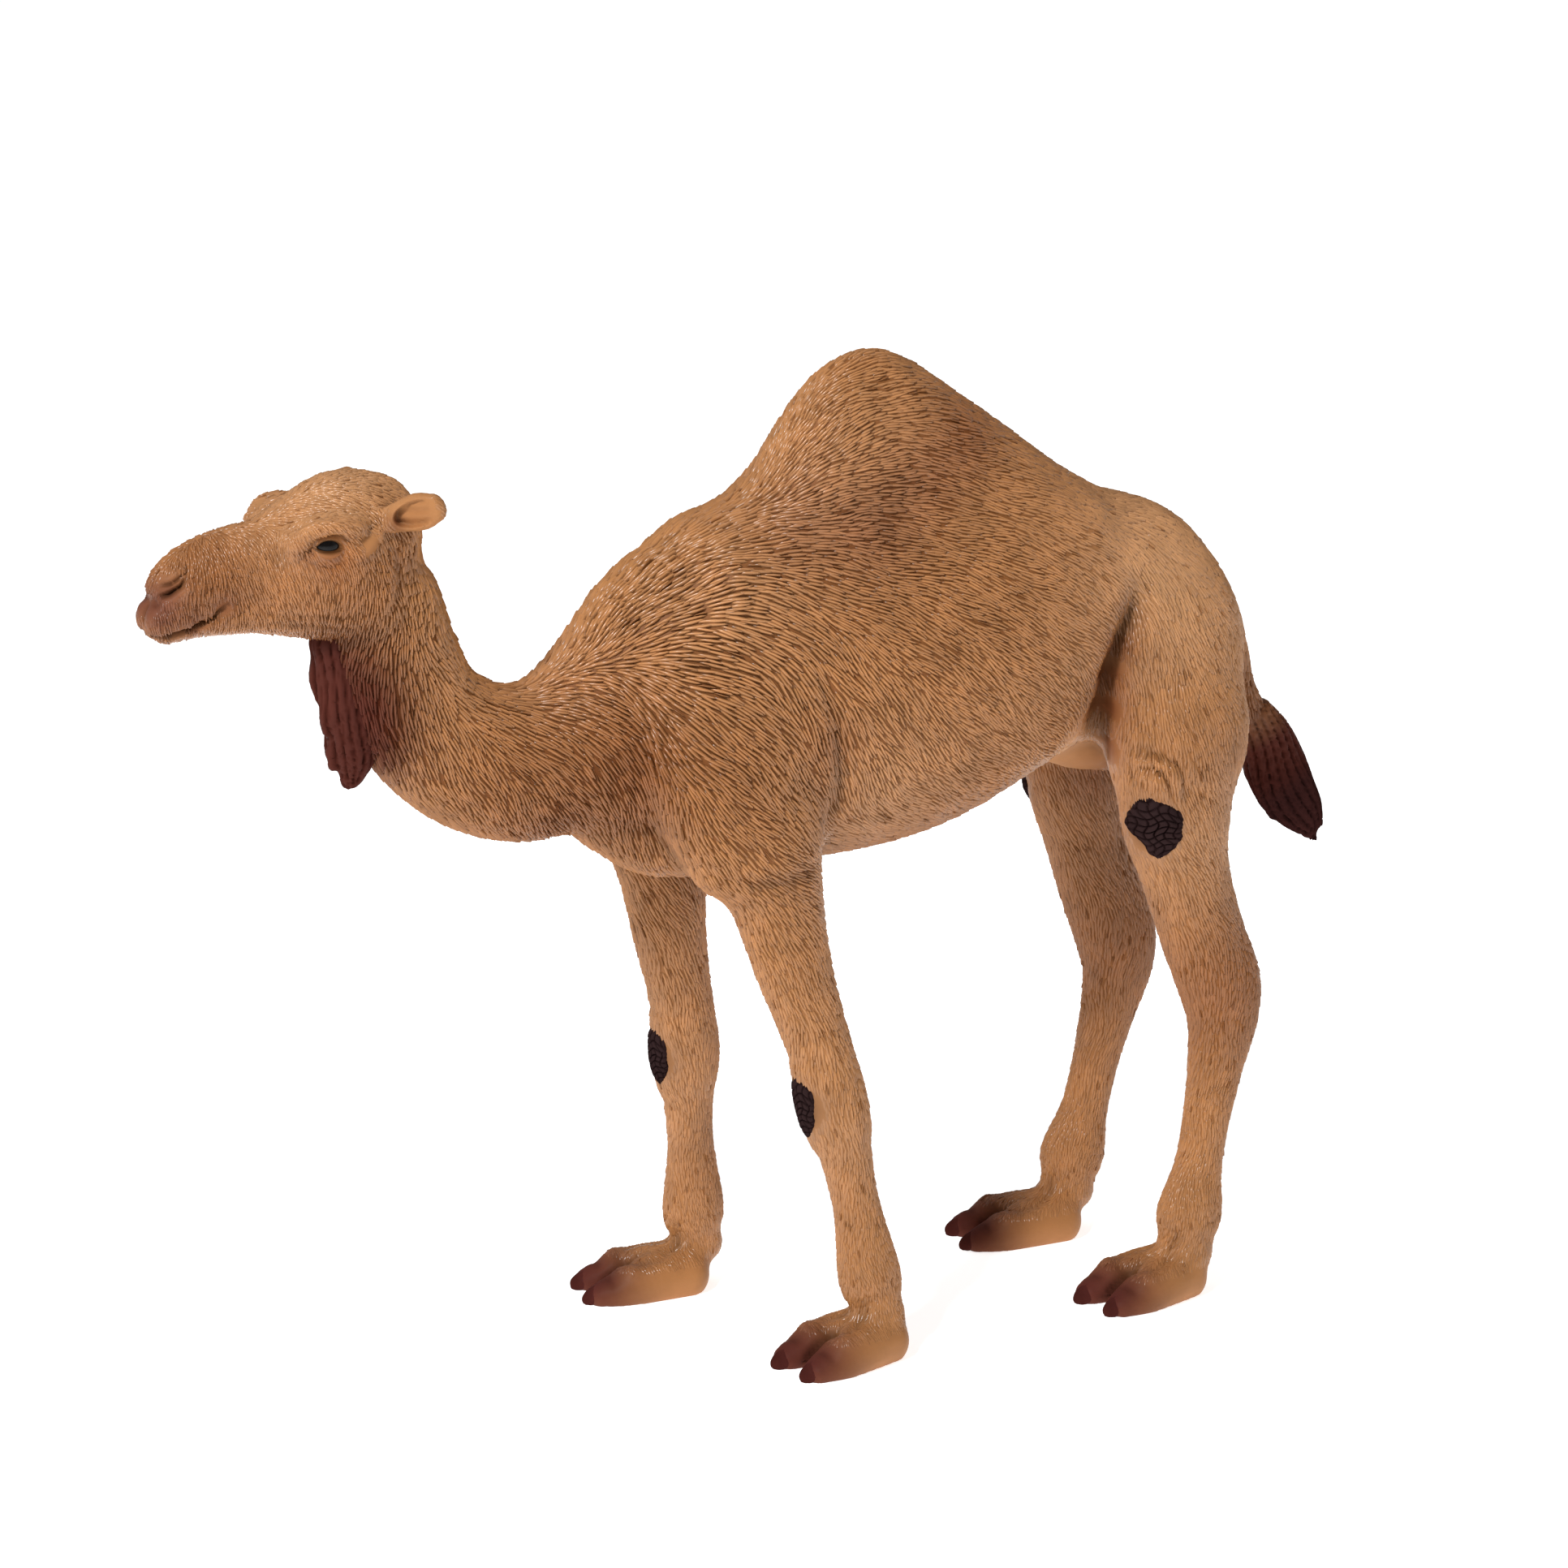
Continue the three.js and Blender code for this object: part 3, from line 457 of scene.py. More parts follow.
# creases and folds: points, width, depth (a ridge is below zero), and the stride of the leg it lies on
folds = [
    ([(0, 12, 76), (2.4, 12, 69), (3.4, 12, 61.5), (2.4, 11, 54)], 1.1, 0.8, None),
    ([(-21.5, 8, 75.4), (-18.7, 9.5, 69.3), (-18.2, 9.5, 65.2), (-17, 9, 58.9)], 1.6, 0.45, None),
    ([(39.4, 11, 79.4), (38.4, 11.5, 77), (36.6, 11.5, 73.6), (35.4, 10.5, 69), (35.4, 9.5, 64.5),
      (35.4, 8, 60)], 1.3, 2.1, None),
    ([(-12, 10, 55.5), (-5, 13, 53.4), (1, 12, 54.4)], 0.9, 0.35, None),
    ([(36.4, 13, 61.6), (39.2, 14.6, 61.8), (42, 15.2, 59.8), (42.8, 15.4, 56.2)], 0.42, 0.36, hindStride),
    ([(36.8, 13.2, 60.6), (39.2, 14.6, 60.8), (41.2, 15.2, 59.1), (41.9, 15.4, 56.4)], 0.42, -0.42,
     hindStride),
    ([(37.2, 13.4, 59.6), (39.2, 14.6, 59.8), (40.5, 15.1, 58.4), (41, 15.4, 56.6)], 0.36, 0.38, hindStride),
    ([(37.4, 13.4, 58.7), (38.9, 14.4, 58.8), (39.8, 15, 57.8), (40.2, 15.2, 56.8)], 0.36, -0.36,
     hindStride),
    ([(35.6, 12.4, 60.4), (36.4, 13, 59), (36, 12.8, 57.6)], 0.34, 0.36, hindStride),
    ([(37, 12, 48.8), (40.4, 14.6, 47.4), (43.4, 15, 48.2)], 0.5, 0.22, hindStride),
    ([(-3.8, 9.4, 33.4), (-3, 13.6, 33), (0.2, 14.6, 32)], 0.5, 0.25, frontStride),
    ([(-3.4, 10, 21.8), (-2, 14, 21.6), (0.6, 15, 22.4)], 0.5, 0.22, frontStride),
    ([(44.6, 12.4, 34.5), (47.4, 14.2, 32.4), (51, 13.8, 30.4)], 0.6, 0.22, hindStride),
    ([(44, 13, 8.6), (47, 14.6, 8.2), (49, 13.4, 8.8)], 0.5, 0.22, hindStride),
    ([(0, 16, 8.2), (2.6, 17.4, 7.8), (5.4, 16.4, 8.4)], 0.5, 0.22, frontStride),
    # the head's
    ([(-68.6, 2, 88.4), (-67.4, 2.9, 88.7), (-66, 3.3, 89.4), (-65.3, 3.3, 90.4)], 0.26, 0.85, None),
    ([(-68.4, 2, 89.6), (-67, 3, 90), (-65.8, 3.2, 90.8), (-65.3, 3.1, 91.5)], 0.24, 0.5, None),
    ([(-68.2, 2.4, 87.5), (-66.6, 3.2, 88.1), (-64.7, 3.4, 89.4)], 0.4, -0.22, None),
    ([(-64.6, 3.2, 91.4), (-64.4, 3.3, 90), (-64.8, 3.4, 88.6)], 0.5, 0.22, None),
    ([(-69.4, 0, 88.1), (-69, 1.6, 88), (-67.8, 2.8, 87.4)], 0.35, 0.3, None),
    ([(-69.6, 0, 87.9), (-69.9, 0, 86.4), (-69, 0, 84.4)], 0.28, 0.4, None),
    ([(-68.6, 0.6, 84.2), (-67.6, 2, 84.3), (-65.5, 2.9, 84.2), (-62.7, 3, 85.2), (-60.9, 3.2, 86.9)],
     0.28, 0.8, None),
    ([(-68, 1.9, 83.5), (-65.4, 2.8, 83.3), (-62.4, 3, 84.3), (-60.3, 3.2, 86)], 0.5, -0.16, None),
    ([(-52.6, 6.6, 92.7), (-53.4, 6, 92.5), (-54.4, 5.6, 92.2)], 0.42, 0.4, None),
    ([(-53.6, 6.2, 93.1), (-51.8, 7.3, 93.85), (-50.2, 7.2, 93.6), (-49.2, 6.8, 93)], 0.22, 0.5, None),
    ([(-54.6, 5.6, 93.5), (-52.6, 7, 94.6), (-50, 7.2, 94.5), (-48, 6.4, 93.7)], 0.6, -0.62, None),
    ([(-57, 4, 94), (-54, 5.6, 95.8), (-50, 6, 96.2), (-46.4, 5.4, 95.4)], 0.6, 0.26, None),
    ([(-54.9, 5.2, 93.4), (-56.2, 4.8, 92.2), (-57, 4.6, 90.8)], 1.1, 0.5, None),
    ([(-49.6, 7, 91.4), (-47.2, 6.9, 92), (-45, 6.4, 93.6)], 0.65, -0.34, None),
    ([(-48.8, 6.6, 93), (-47, 6.4, 93.6), (-45.4, 6, 95)], 0.55, 0.3, None),
    ([(-53.2, 6, 91.2), (-51.6, 6.6, 90.5), (-49.6, 6.6, 90.8)], 0.3, 0.2, None),
    ([(-58.5, 3, 83.9), (-54, 4, 83.5), (-49, 4.8, 83.4), (-46, 5, 84.4)], 0.45, 0.3, None),
    ([(-57.5, 3.6, 85.4), (-53, 4.8, 85), (-48.6, 5.6, 85), (-46.4, 5.6, 86)], 0.45, 0.26, None),
    ([(-45.6, 5, 84.5), (-43.6, 5.2, 88), (-43.8, 5.4, 91.5)], 0.7, 0.4, None)]


def pathOnSkin(points):
    path = sampled([tuple(point) for point in points], 0.16)
    return settled(forms, path, -skinShape["depth"], 3)


def alongPath(verts, path, reach):
    # the vertices near a path, how far each is from it, and how far along it each lies, from 0 to 1
    near = np.flatnonzero(((verts > path.min(0) - reach) & (verts < path.max(0) + reach)).all(1))
    apart = np.linalg.norm(verts[near][:, None] - path[None], axis=2)
    nearest = apart.argmin(1)
    return near, apart[np.arange(len(near)), nearest], nearest / (len(path) - 1)


def footFolds():
    # the cleft between the toes, the knuckle of each toe, and the crease over the foot
    made = []
    for foot in feet.values():
        def at(ahead, out, z):
            return (*footPoint(foot, ahead, out), z)
        made.append(([at(0, 0, 5), at(3, 0, 4), at(5.6, 0, 2.4), at(6.6, 0, 0.6)], 0.55, 0.8))
        made.append(([at(2.9, -3, 6.2), at(3.4, 0, 6.4), at(2.9, 3, 6.2)], 0.6, 0.45))
        for v in sides:
            crease = [at(3.2, v, 6.5), at(1.5, v * 3, 6.6), at(-1.5, v * 3.4, 6.9), at(-3.8, v, 7.1)]
            made.append((crease, 0.8, 0.45))
            made.append(([at(2.6, v * 0.9, 4.6), at(2.6, v * 2.6, 4.4), at(2.2, v * 4.4, 3)], 0.9, -0.45))
            made.append(([at(4.6, v * 0.9, 3.2), at(4.8, v * 2.6, 3.2), at(4.2, v * 4.4, 2)], 0.6, 0.35))
    return made


def foldedSkin(verts, tris):
    normals = normalsOf(verts, tris)
    move, creaseShade = np.zeros(len(verts)), np.ones(len(verts))
    placed = footFolds()
    for points, width, depth, stride in folds:
        for side in sides if points[-1][1] else (1,):
            onSide = strode(points, side, stride) if stride else [(x, side * y, z) for x, y, z in points]
            placed.append((onSide, width, depth))
    for points, width, depth in placed:
        near, apart, share = alongPath(verts, pathOnSkin(points), 2.6 * width)
        amount = np.sin(np.pi * np.clip(share, 0.02, 0.98)) ** 0.5 * np.exp(-(apart / width) ** 2)
        move[near] -= depth * amount
        # painted shade in each crease, and a painted highlight along each ridge
        creaseShade[near] *= 1 - amount * np.clip(0.26 * depth / width - 0.1 * (depth > 0), -0.12, 0.8)
    return verts + move[:, None] * normals, creaseShade


def axesAt(out, along):
    out = np.array(out, float)
    out /= np.linalg.norm(out)
    along = np.array(along, float)
    along -= along @ out * out
    along /= np.linalg.norm(along)
    return out, along


lids = {"half": 1.14, "top": 0.3, "bottom": 0.6, "proud": 0.26}


def lidMeasure(verts, side):
    # how far outside the eye's opening a vertex lies, below zero inside it, and its place around the ball
    out, forward = axesAt((-0.25, side, 0.05), (-1, 0, 0))
    up = np.cross(out, forward) * -side
    fromBall = verts - eyePlaces[(side + 1) // 2]
    ahead, high, outward = fromBall @ forward, fromBall @ up, fromBall @ out
    half = lids["half"]
    arch = np.clip(1 - (ahead / half) ** 2, 0, 1)
    top, bottom = lids["top"] * arch ** 0.35, lids["bottom"] * arch ** 0.8
    beyond = np.hypot(np.maximum(np.abs(ahead) - half, 0), np.abs(high))
    measure = np.where(np.abs(ahead) < half, np.maximum(high - top, -bottom - high), beyond)
    return fromBall, measure, high, outward


def openEyes(verts, creaseShade):
    radius = eye["radius"]
    for side in sides:
        fromBall, measure, high, outward = lidMeasure(verts, side)
        apart = np.linalg.norm(fromBall, axis=1)
        near = (outward > 0.2) & (apart < 4)
        rim = radius + lids["proud"] + 0.16 * smoothStep(-0.2, 0.4, high)
        target = radius - 0.4 + (rim - radius + 0.4) * smoothStep(-0.06, 0.1, measure)
        target += (apart - target) * smoothStep(0.35, 1.3, measure)
        scale = np.where(near, target / np.maximum(apart, 0.1), 1)
        verts = verts + fromBall * (scale - 1)[:, None]
        # painted shade along the edge of the lids, where they meet the ball
        creaseShade = creaseShade * (1 - 0.85 * near * np.exp(-(np.maximum(measure, 0) / 0.17) ** 2))
    return verts, creaseShade


def cuppedEars(verts):
    for side in sides:
        out, along = axesAt((-0.35, side, 0.1), (4.1, side * 4.1, 1.9))
        up = np.cross(out, along)
        v = verts - np.array([-42.3, side * 7.3, 95.2]) - earShift[side]
        a, h, o = v @ along, v @ up, v @ out
        q = ((a - 0.1) / 2.5) ** 2 + (h / 1.5) ** 2
        depth = 0.85 - 0.34 * a + 0.12 * np.sin(5 * h + a)
        depth = depth * smoothStep(0, 0.45, 1 - q) * smoothStep(-0.5, 0.1, o)
        verts = verts - depth[:, None] * out
    return verts


skinVerts, skinTris = bodySkin()
skinVerts, skinCreaseShade = foldedSkin(skinVerts, skinTris)
skinVerts, skinCreaseShade = openEyes(skinVerts, skinCreaseShade)
skinVerts = cuppedEars(skinVerts)
skinVerts[:, 2] = np.maximum(skinVerts[:, 2], 0)
skinNormals = normalsOf(skinVerts, skinTris)
print("skin:", len(skinTris), "triangles")


# lie of the coat: x, z, the way it lies in the side view in degrees, and how deep it is cut
lieGuides = [
    (-49, 79, -100, 1), (-44, 81, -95, 1), (-42, 86, -90, 1), (-44, 71, -82, 1), (-39, 72, -70, 1),
    (-36, 77, -50, 0.8), (-34, 69, -60, 1), (-30, 71, -25, 1), (-26, 73, -12, 1), (-25, 67, -42, 1),
    (-30, 65, -62, 1), (-22, 70, -16, 1), (-21, 79, 42, 1), (-16, 81, 4, 1), (-12, 78, -17, 1),
    (-6, 76, -32, 1), (-1, 75, -55, 1), (0, 72, -68, 0.9), (-16, 74, -32, 1), (-11, 72, -36, 1),
    (-9, 68, -42, 1), (-15, 69, -45, 1), (-19, 68, -55, 1), (-20, 70, -64, 1), (-9, 63, -46, 1),
    (-4, 60, -55, 1), (-1, 65, -64, 0.9), (-9, 58, -42, 0.9), (-6, 54, -42, 0.8), (-2, 54, -20, 0.7),
    (4, 69, -60, 0.9), (4, 62, -77, 0.9), (-19, 62, -68, 1), (-24, 66, -42, 1), (-26, 61, -68, 1),
    (-18, 58, -76, 0.9), (-14, 86, 20, 1), (-17, 84, 42, 1), (-10, 83, -3, 1), (-2, 83, -27, 1),
    (6, 82, -34, 1), (18, 79, -41, 1), (8, 88, -12, 1), (19, 87, -18, 1), (-1, 88, -16, 1),
    (-5, 89, -5, 1), (4, 97, 42, 0.9), (3, 100, 52, 0.9), (7, 99, 20, 0.9), (13, 100, 0, 0.8),
    (19, 95, -22, 0.9), (9, 95, 2, 1), (3, 93, 10, 1), (24, 91, -24, 0.9), (12, 85, -18, 1),
    (26, 87, -26, 0.8), (31, 86, -40, 0.7), (41, 84, -55, 0.6), (37, 83, -46, 0.6), (23, 80, -34, 0.9),
    (18, 77, -32, 0.9), (12, 76, -36, 1), (5, 76, -46, 1), (21, 71, -41, 0.8), (12, 71, -46, 0.9),
    (7, 70, -55, 0.9), (33, 78, -36, 0.6), (41, 76, -81, 0.5), (44, 78, -68, 0.5), (47, 79, -64, 0.5),
    (50, 75, -64, 0.5), (44, 71, -81, 0.5), (49, 68, -73, 0.5), (6, 66, -64, 0.8), (11, 66, -50, 0.8),
    (18, 69, -45, 0.8), (25, 66, -42, 0.7), (12, 63, -55, 0.8), (6, 61, -68, 0.8), (15, 61, -42, 0.7),
    (14, 57, -28, 0.6), (6, 56, -32, 0.6), (9, 54, -14, 0.6), (20, 63, -32, 0.7), (40, 64, -88, 0.5),
    (45, 63, -79, 0.5), (46, 52, -63, 0.5), (46, 43, -65, 0.5), (50, 30, -95, 0.4), (48, 20, -100, 0.4),
    (46, 12, -100, 0.35), (-5, 48, -62, 0.7), (-3, 38, -72, 0.6), (0, 28, -82, 0.45), (1, 18, -88, 0.4),
    (2, 10, -82, 0.35), (-47, 88, -88, 0.72), (-60, 89, -82, 0.74), (-65, 87, -85, 0.58),
    (-55, 92, -60, 0.5), (-50, 97, -18, 0.55), (-53.5, 95, -35, 0.36), (-44, 97, -18, 0.66),
    (-47, 92, -77, 0.62), (-43, 91, -88, 0.8), (-55, 86, -82, 0.64), (58, 67, -82, 0.5),
    (60, 60, -80, 0.5)]
guideReach = 3.6
# places left smooth: x, distance from the middle, z, reach, stride of the leg they lie on
bareSpots = [
    (-51.35, 6.8, 92.6, 1.7, None), (-50.6, 6.6, 94.3, 1.1, None), (-53.4, 5.8, 94, 1.2, None),
    (-47, 6.8, 92.3, 1.3, None), (-67, 2.6, 89.2, 1.9, None), (-69, 1, 87, 1.8, None),
    (-66, 2.6, 84.3, 1.1, None), (-63.5, 3, 84.8, 1.1, None), (-61.3, 3.2, 86.4, 1.1, None),
    (-42.3, 7.5, 95.2, 3.3, None), (35.6, 11.5, 71, 2.2, None), (35.4, 10.5, 66, 2.4, None),
    (35.6, 9, 61, 3, None), (37, 3, 58.5, 4.5, None), (-48, 1, 73, 2, None),
    (39.4, 13.6, 53, 3.9, hindStride), (-4, 12, 27.6, 3.2, frontStride)]


def wander(points):
    x, y, z = points.T
    return (0.09 * np.sin(0.6 * x + 0.5 * z + 0.4 * y) + 0.07 * np.sin(0.31 * x - 0.8 * z + 1.7)
            + 0.05 * np.sin(1.3 * x + 0.9 * z))


def awayFrom(points, place, stride):
    # distance from a place or its mirror image, each moved by the stride of its own leg
    both = [strode([place], side, stride)[0] if stride else np.array(place) * (1, side, 1) for side in sides]
    return np.min([np.linalg.norm(points - spot, axis=1) for spot in both], 0)


def lieOf(points, normals):
    # the way and the depth of the coat at each point, from the nearest guides
    guides = np.array(lieGuides, float)
    way = np.radians(guides[:, 2])
    apart = (points[:, None, 0] - guides[:, 0]) ** 2 + (points[:, None, 2] - guides[:, 1]) ** 2
    share = np.exp(-apart / 2 / guideReach ** 2)
    share += 1e-4 / (1 + apart)
    share /= share.sum(1)[:, None]
    flow = np.stack([share @ np.cos(way), 0 * points[:, 0], share @ np.sin(way)], 1)
    flow -= (flow * normals).sum(1)[:, None] * normals
    depth = share @ guides[:, 3]
    for *place, reach, stride in bareSpots:
        depth = depth * smoothStep(0.75 * reach, 1.25 * reach, awayFrom(points, place, stride))
    depth = depth * smoothStep(1.5, 9, points[:, 2])
    flow /= np.maximum(np.linalg.norm(flow, axis=1), 1e-3)[:, None]
    swing = wander(points)[:, None]
    return flow * np.cos(swing) + np.cross(normals, flow) * np.sin(swing), depth


skinCoat = lieOf(skinVerts, skinNormals)[1]


# paint: soft sprayed spots over the moulded tan, some of them painted shade in creases, at the eyes' front
# corners and under the body
palette = {
    "tan": (167, 115, 70), "pale": (198, 149, 105), "brown": (140, 88, 48), "umber": (122, 73, 39),
    "rose": (180, 129, 88), "mauve": (130, 79, 52), "red": (122, 68, 37), "plum": (98, 53, 40),
    "purple": (106, 64, 54), "maroon": (80, 38, 29), "dark": (52, 28, 26), "groin": (98, 46, 22),
    "leg": (151, 99, 54), "shade": (106, 61, 33), "rim": (136, 74, 28), "toe": (86, 42, 37),
    "black": (30, 17, 17), "padRidgeSheen": (45, 32, 32), "mane": (72, 35, 28)}
# x, distance from the middle, z, reach, strength, colour
sprays = [
    # painted shade: the umber spots along the creases before and behind the shoulder
    (-9, 12, 64, 6, 0.3, "brown"), (-18.5, 8, 66, 6.6, 0.9, "umber"), (-17, 6, 59, 5, 0.6, "umber"),
    (2, 12, 67, 3.6, 0.6, "umber"), (2.5, 12, 60, 3.6, 0.6, "umber"), (-2, 10, 54, 4, 0.4, "umber"),
    (-31, 5, 65, 8, 0.55, "brown"), (-26, 4, 60, 5, 0.7, "umber"), (-47, 2, 74, 6, 1, "maroon"),
    (-46, 2, 69.5, 4.6, 0.95, "maroon"), (-48, 2, 79, 5.4, 0.9, "maroon"),
    (-45.6, 4.2, 75, 3, 0.5, "maroon"), (-44.8, 4, 71, 2.8, 0.5, "maroon"), (-24, 2, 75, 6, 0.5, "rose"),
    (0, 9, 90.5, 5.5, 0.6, "mauve"), (8, 9, 89.5, 5.8, 0.65, "mauve"), (15, 7.5, 92.6, 4.6, 0.5, "mauve"),
    (20.5, 4, 95.5, 4.8, 0.7, "red"), (2, 8, 93, 7, 0.25, "pale"), (-8, 9, 82, 8, 0.25, "pale"),
    (10, 8, 97, 7, 0.2, "pale"), (8, 12, 58, 9, 0.35, "pale"), (42, 6, 80, 10, 0.8, "pale"),
    (49, 9, 68, 9, 0.3, "pale"), (47, 12, 52, 8, 0.5, "pale"), (0, 12, 24, 13, 0.2, "pale"),
    (50, 12, 34, 10, 1, "brown"), (46, 13, 62, 7, 0.35, "brown"), (0, 13, 16, 6, 0.25, "brown"),
    (-61, 4, 90, 7, 0.8, "brown"), (-62, 4, 90, 5, 0.35, "umber"), (-21, 5, 70, 6, 0.4, "brown"),
    # painted shade over dark paint: the umber and groin spots down the deep crease before the thigh
    (37, 12, 74, 4, 0.35, "umber"), (35, 11, 67, 4, 0.5, "umber"), (37.8, 12, 77, 1.6, 0.6, "groin"),
    (36.4, 11.6, 73.4, 1.9, 0.9, "groin"), (35.4, 11, 70, 2.2, 1, "groin"),
    (35.6, 10, 66, 2.4, 1, "groin"), (36.8, 9, 61.6, 2.4, 1, "groin"), (32.6, 7, 59.6, 4, 0.8, "pale"),
    (10, 3, 52, 7, 0.4, "umber"), (20, 3, 55, 7, 0.4, "umber"), (45, 12, 56, 9, 0.3, "leg"),
    # painted shade under the body, between the legs: the shade spots and the groin spot between the thighs
    (47, 6, 45, 6, 0.4, "shade"), (44, 3, 55, 6, 0.7, "groin"), (-3, 4, 50, 5, 0.4, "shade"),
    (-49, 5, 88, 6, 0.6, "brown"), (-67.8, 2, 86.7, 3.5, 0.75, "purple"), (-69, 1, 87.5, 2.6, 0.7, "plum"),
    (-67, 3.1, 89.1, 1.1, 0.8, "maroon"), (-65.8, 3.4, 89.9, 0.8, 0.7, "maroon"),
    (-64, 3, 84.8, 1.6, 0.6, "plum"), (-61.2, 3.2, 86.6, 1.4, 0.6, "plum"),
    # painted shade: the plum spot at the front corner of each eye
    (-51.2, 6.8, 91.6, 2.4, 0.8, "rim"), (-53.8, 6, 92, 1.4, 0.5, "plum"), (-50, 3, 97.4, 4, 0.5, "pale"),
    (-55, 3, 95, 6, 0.35, "pale"), (-45, 2, 97, 5, 0.5, "pale"), (-44, 6.4, 94.2, 1, 0.7, "maroon"),
    (-42, 8, 95.2, 1.6, 0.3, "umber"), (-44, 5, 90, 3, 0.4, "umber"), (59.6, 1, 64, 3.6, 0.5, "umber"),
    (61, 1, 59.6, 3, 0.9, "maroon"), (52, 3, 64, 5, 0.5, "shade")]
# the same, and the stride of the leg they lie on
legSprays = [(39.4, 13.6, 53, 3.1, 0.75, "dark", hindStride), (-4, 12, 27.6, 2.8, 0.75, "dark", frontStride)]


def linear(colour):
    c = np.array(colour, float) / 255
    return np.where(c <= 0.04045, c / 12.92, ((c + 0.055) / 1.055) ** 2.4)


def paintOf(points):
    colour = np.tile(linear(palette["tan"]), (len(points), 1))
    striding = [(*row, None) for row in sprays] + legSprays
    for *place, reach, strength, name, stride in striding:
        share = strength * np.exp(-(awayFrom(points, place, stride) / reach) ** 2)
        colour += share[:, None] * (linear(palette[name]) - colour)
    for foot in feet.values():
        for v in sides:
            for ahead, reach, strength, name in ((4, 3.6, 0.85, "plum"), (6.2, 3.9, 1, "toe")):
                place = (*footPoint(foot, ahead, v * 2.4), 1.4)
                share = strength * np.exp(-(np.linalg.norm(points - place, axis=1) / reach) ** 2)
                colour += share[:, None] * (linear(palette[name]) - colour)
    return colour


def hollowness(verts, tris):
    # how far each vertex lies below the mean of its neighbours, as a share of a deep crease
    eased = verts
    for _ in range(6):
        eased = relaxed(eased, tris, 0.6)
    return np.clip(((eased - verts) * skinNormals).sum(1) / 0.25, -1, 1)


# painted shade: darker in hollows, over the painted shade of creases and lids
skinShade = skinCreaseShade * (1 - 0.35 * np.maximum(hollowness(skinVerts, skinTris), 0))
skinPaint = paintOf(skinVerts) * skinShade[:, None]
print("lie and paint laid out")


# materials
finishes = {
    "skin": {"roughness": 0.5, "gloss": 0.14},
    "coat": {"roughness": 0.27, "gloss": 0.38, "grain": 0},
    "hair": {"roughness": 0.45, "gloss": 0.5, "mottle": 0.12},
    "pad": {"roughness": 0.5, "gloss": 0.12, "mottle": 0.2},
    "nail": {"roughness": 0.4, "gloss": 0.16, "grain": 0.1},
    "eye": {"roughness": 0.16, "gloss": 0.2, "mottle": 0, "grain": 0, "colour": (10, 7, 6)}}
pattern = {"mottle": 0.1, "mottleScale": 260, "grain": 0.25, "grainScale": 2600, "grainDepth": 0.00006}


def addNode(tree, kind, feeds=(), **settings):
    # feeds pair an input with a socket or a value
    node = tree.nodes.new(kind)
    for key, value in settings.items():
        setattr(node, key, value)
    for socket, given in feeds:
        if isinstance(given, bpy.types.NodeSocket):
            tree.links.new(given, node.inputs[socket])
        else:
            node.inputs[socket].default_value = given
    return node


def painted(name):
    # colour from the painted attribute, or one colour, mottled a little, with a fine grain
    finish = finishes[name]
    mottle, grain = (finish.get(key, pattern[key]) for key in ("mottle", "grain"))
    material = bpy.data.materials.new("painted" + name.title())
    material.use_nodes = True
    tree = material.node_tree
    shader = tree.nodes["Principled BSDF"].inputs
    shader["Roughness"].default_value = finish["roughness"]
    shader["Specular IOR Level"].default_value = finish["gloss"]
    place = addNode(tree, "ShaderNodeTexCoord").outputs["Object"]
    noise = addNode(tree, "ShaderNodeTexNoise", [
        ("Vector", place), ("Scale", pattern["mottleScale"]), ("Detail", 4)])
    level = addNode(tree, "ShaderNodeMapRange", [
        ("Value", noise.outputs["Fac"]), ("From Min", 0.3), ("From Max", 0.7),
        ("To Min", 1 - mottle), ("To Max", 1 + mottle)])
    scaled = addNode(tree, "ShaderNodeVectorMath", [("Scale", level.outputs["Result"])], operation="SCALE")
    tree.links.new(scaled.outputs["Vector"], shader["Base Color"])
    if "colour" in finish:
        scaled.inputs[0].default_value = linear(finish["colour"])
    else:
        colour = addNode(tree, "ShaderNodeAttribute", attribute_name="paint").outputs["Vector"]
        tree.links.new(colour, scaled.inputs[0])
        # dark paint, painted shade included, is matte
        strength = addNode(tree, "ShaderNodeVectorMath", [(0, colour)], operation="LENGTH")
        matte = addNode(tree, "ShaderNodeMapRange", [
            ("Value", strength.outputs["Value"]), ("From Min", 0.06), ("From Max", 0.3),
            ("To Max", finish["gloss"])])
        tree.links.new(matte.outputs["Result"], shader["Specular IOR Level"])
    if grain:
        fine = addNode(tree, "ShaderNodeTexNoise", [
            ("Vector", place), ("Scale", pattern["grainScale"]), ("Detail", 3)])
        bump = addNode(tree, "ShaderNodeBump", [
            ("Strength", grain), ("Distance", pattern["grainDepth"]), ("Height", fine.outputs["Fac"])])
        tree.links.new(bump.outputs["Normal"], shader["Normal"])
    return material


materials = {name: painted(name) for name in finishes}

skin = makeObject("skin", skinVerts, skinTris, materials["skin"])
grooveShade = (0.4, 0.49, 0.56)    # painted shade of the skin in the grooves between the strokes, in red, green and blue
storeAttribute(skin, "paint", skinPaint * (1 - smoothStep(0.3, 1, skinCoat)[:, None] * grooveShade))
print("materials made, skin painted")


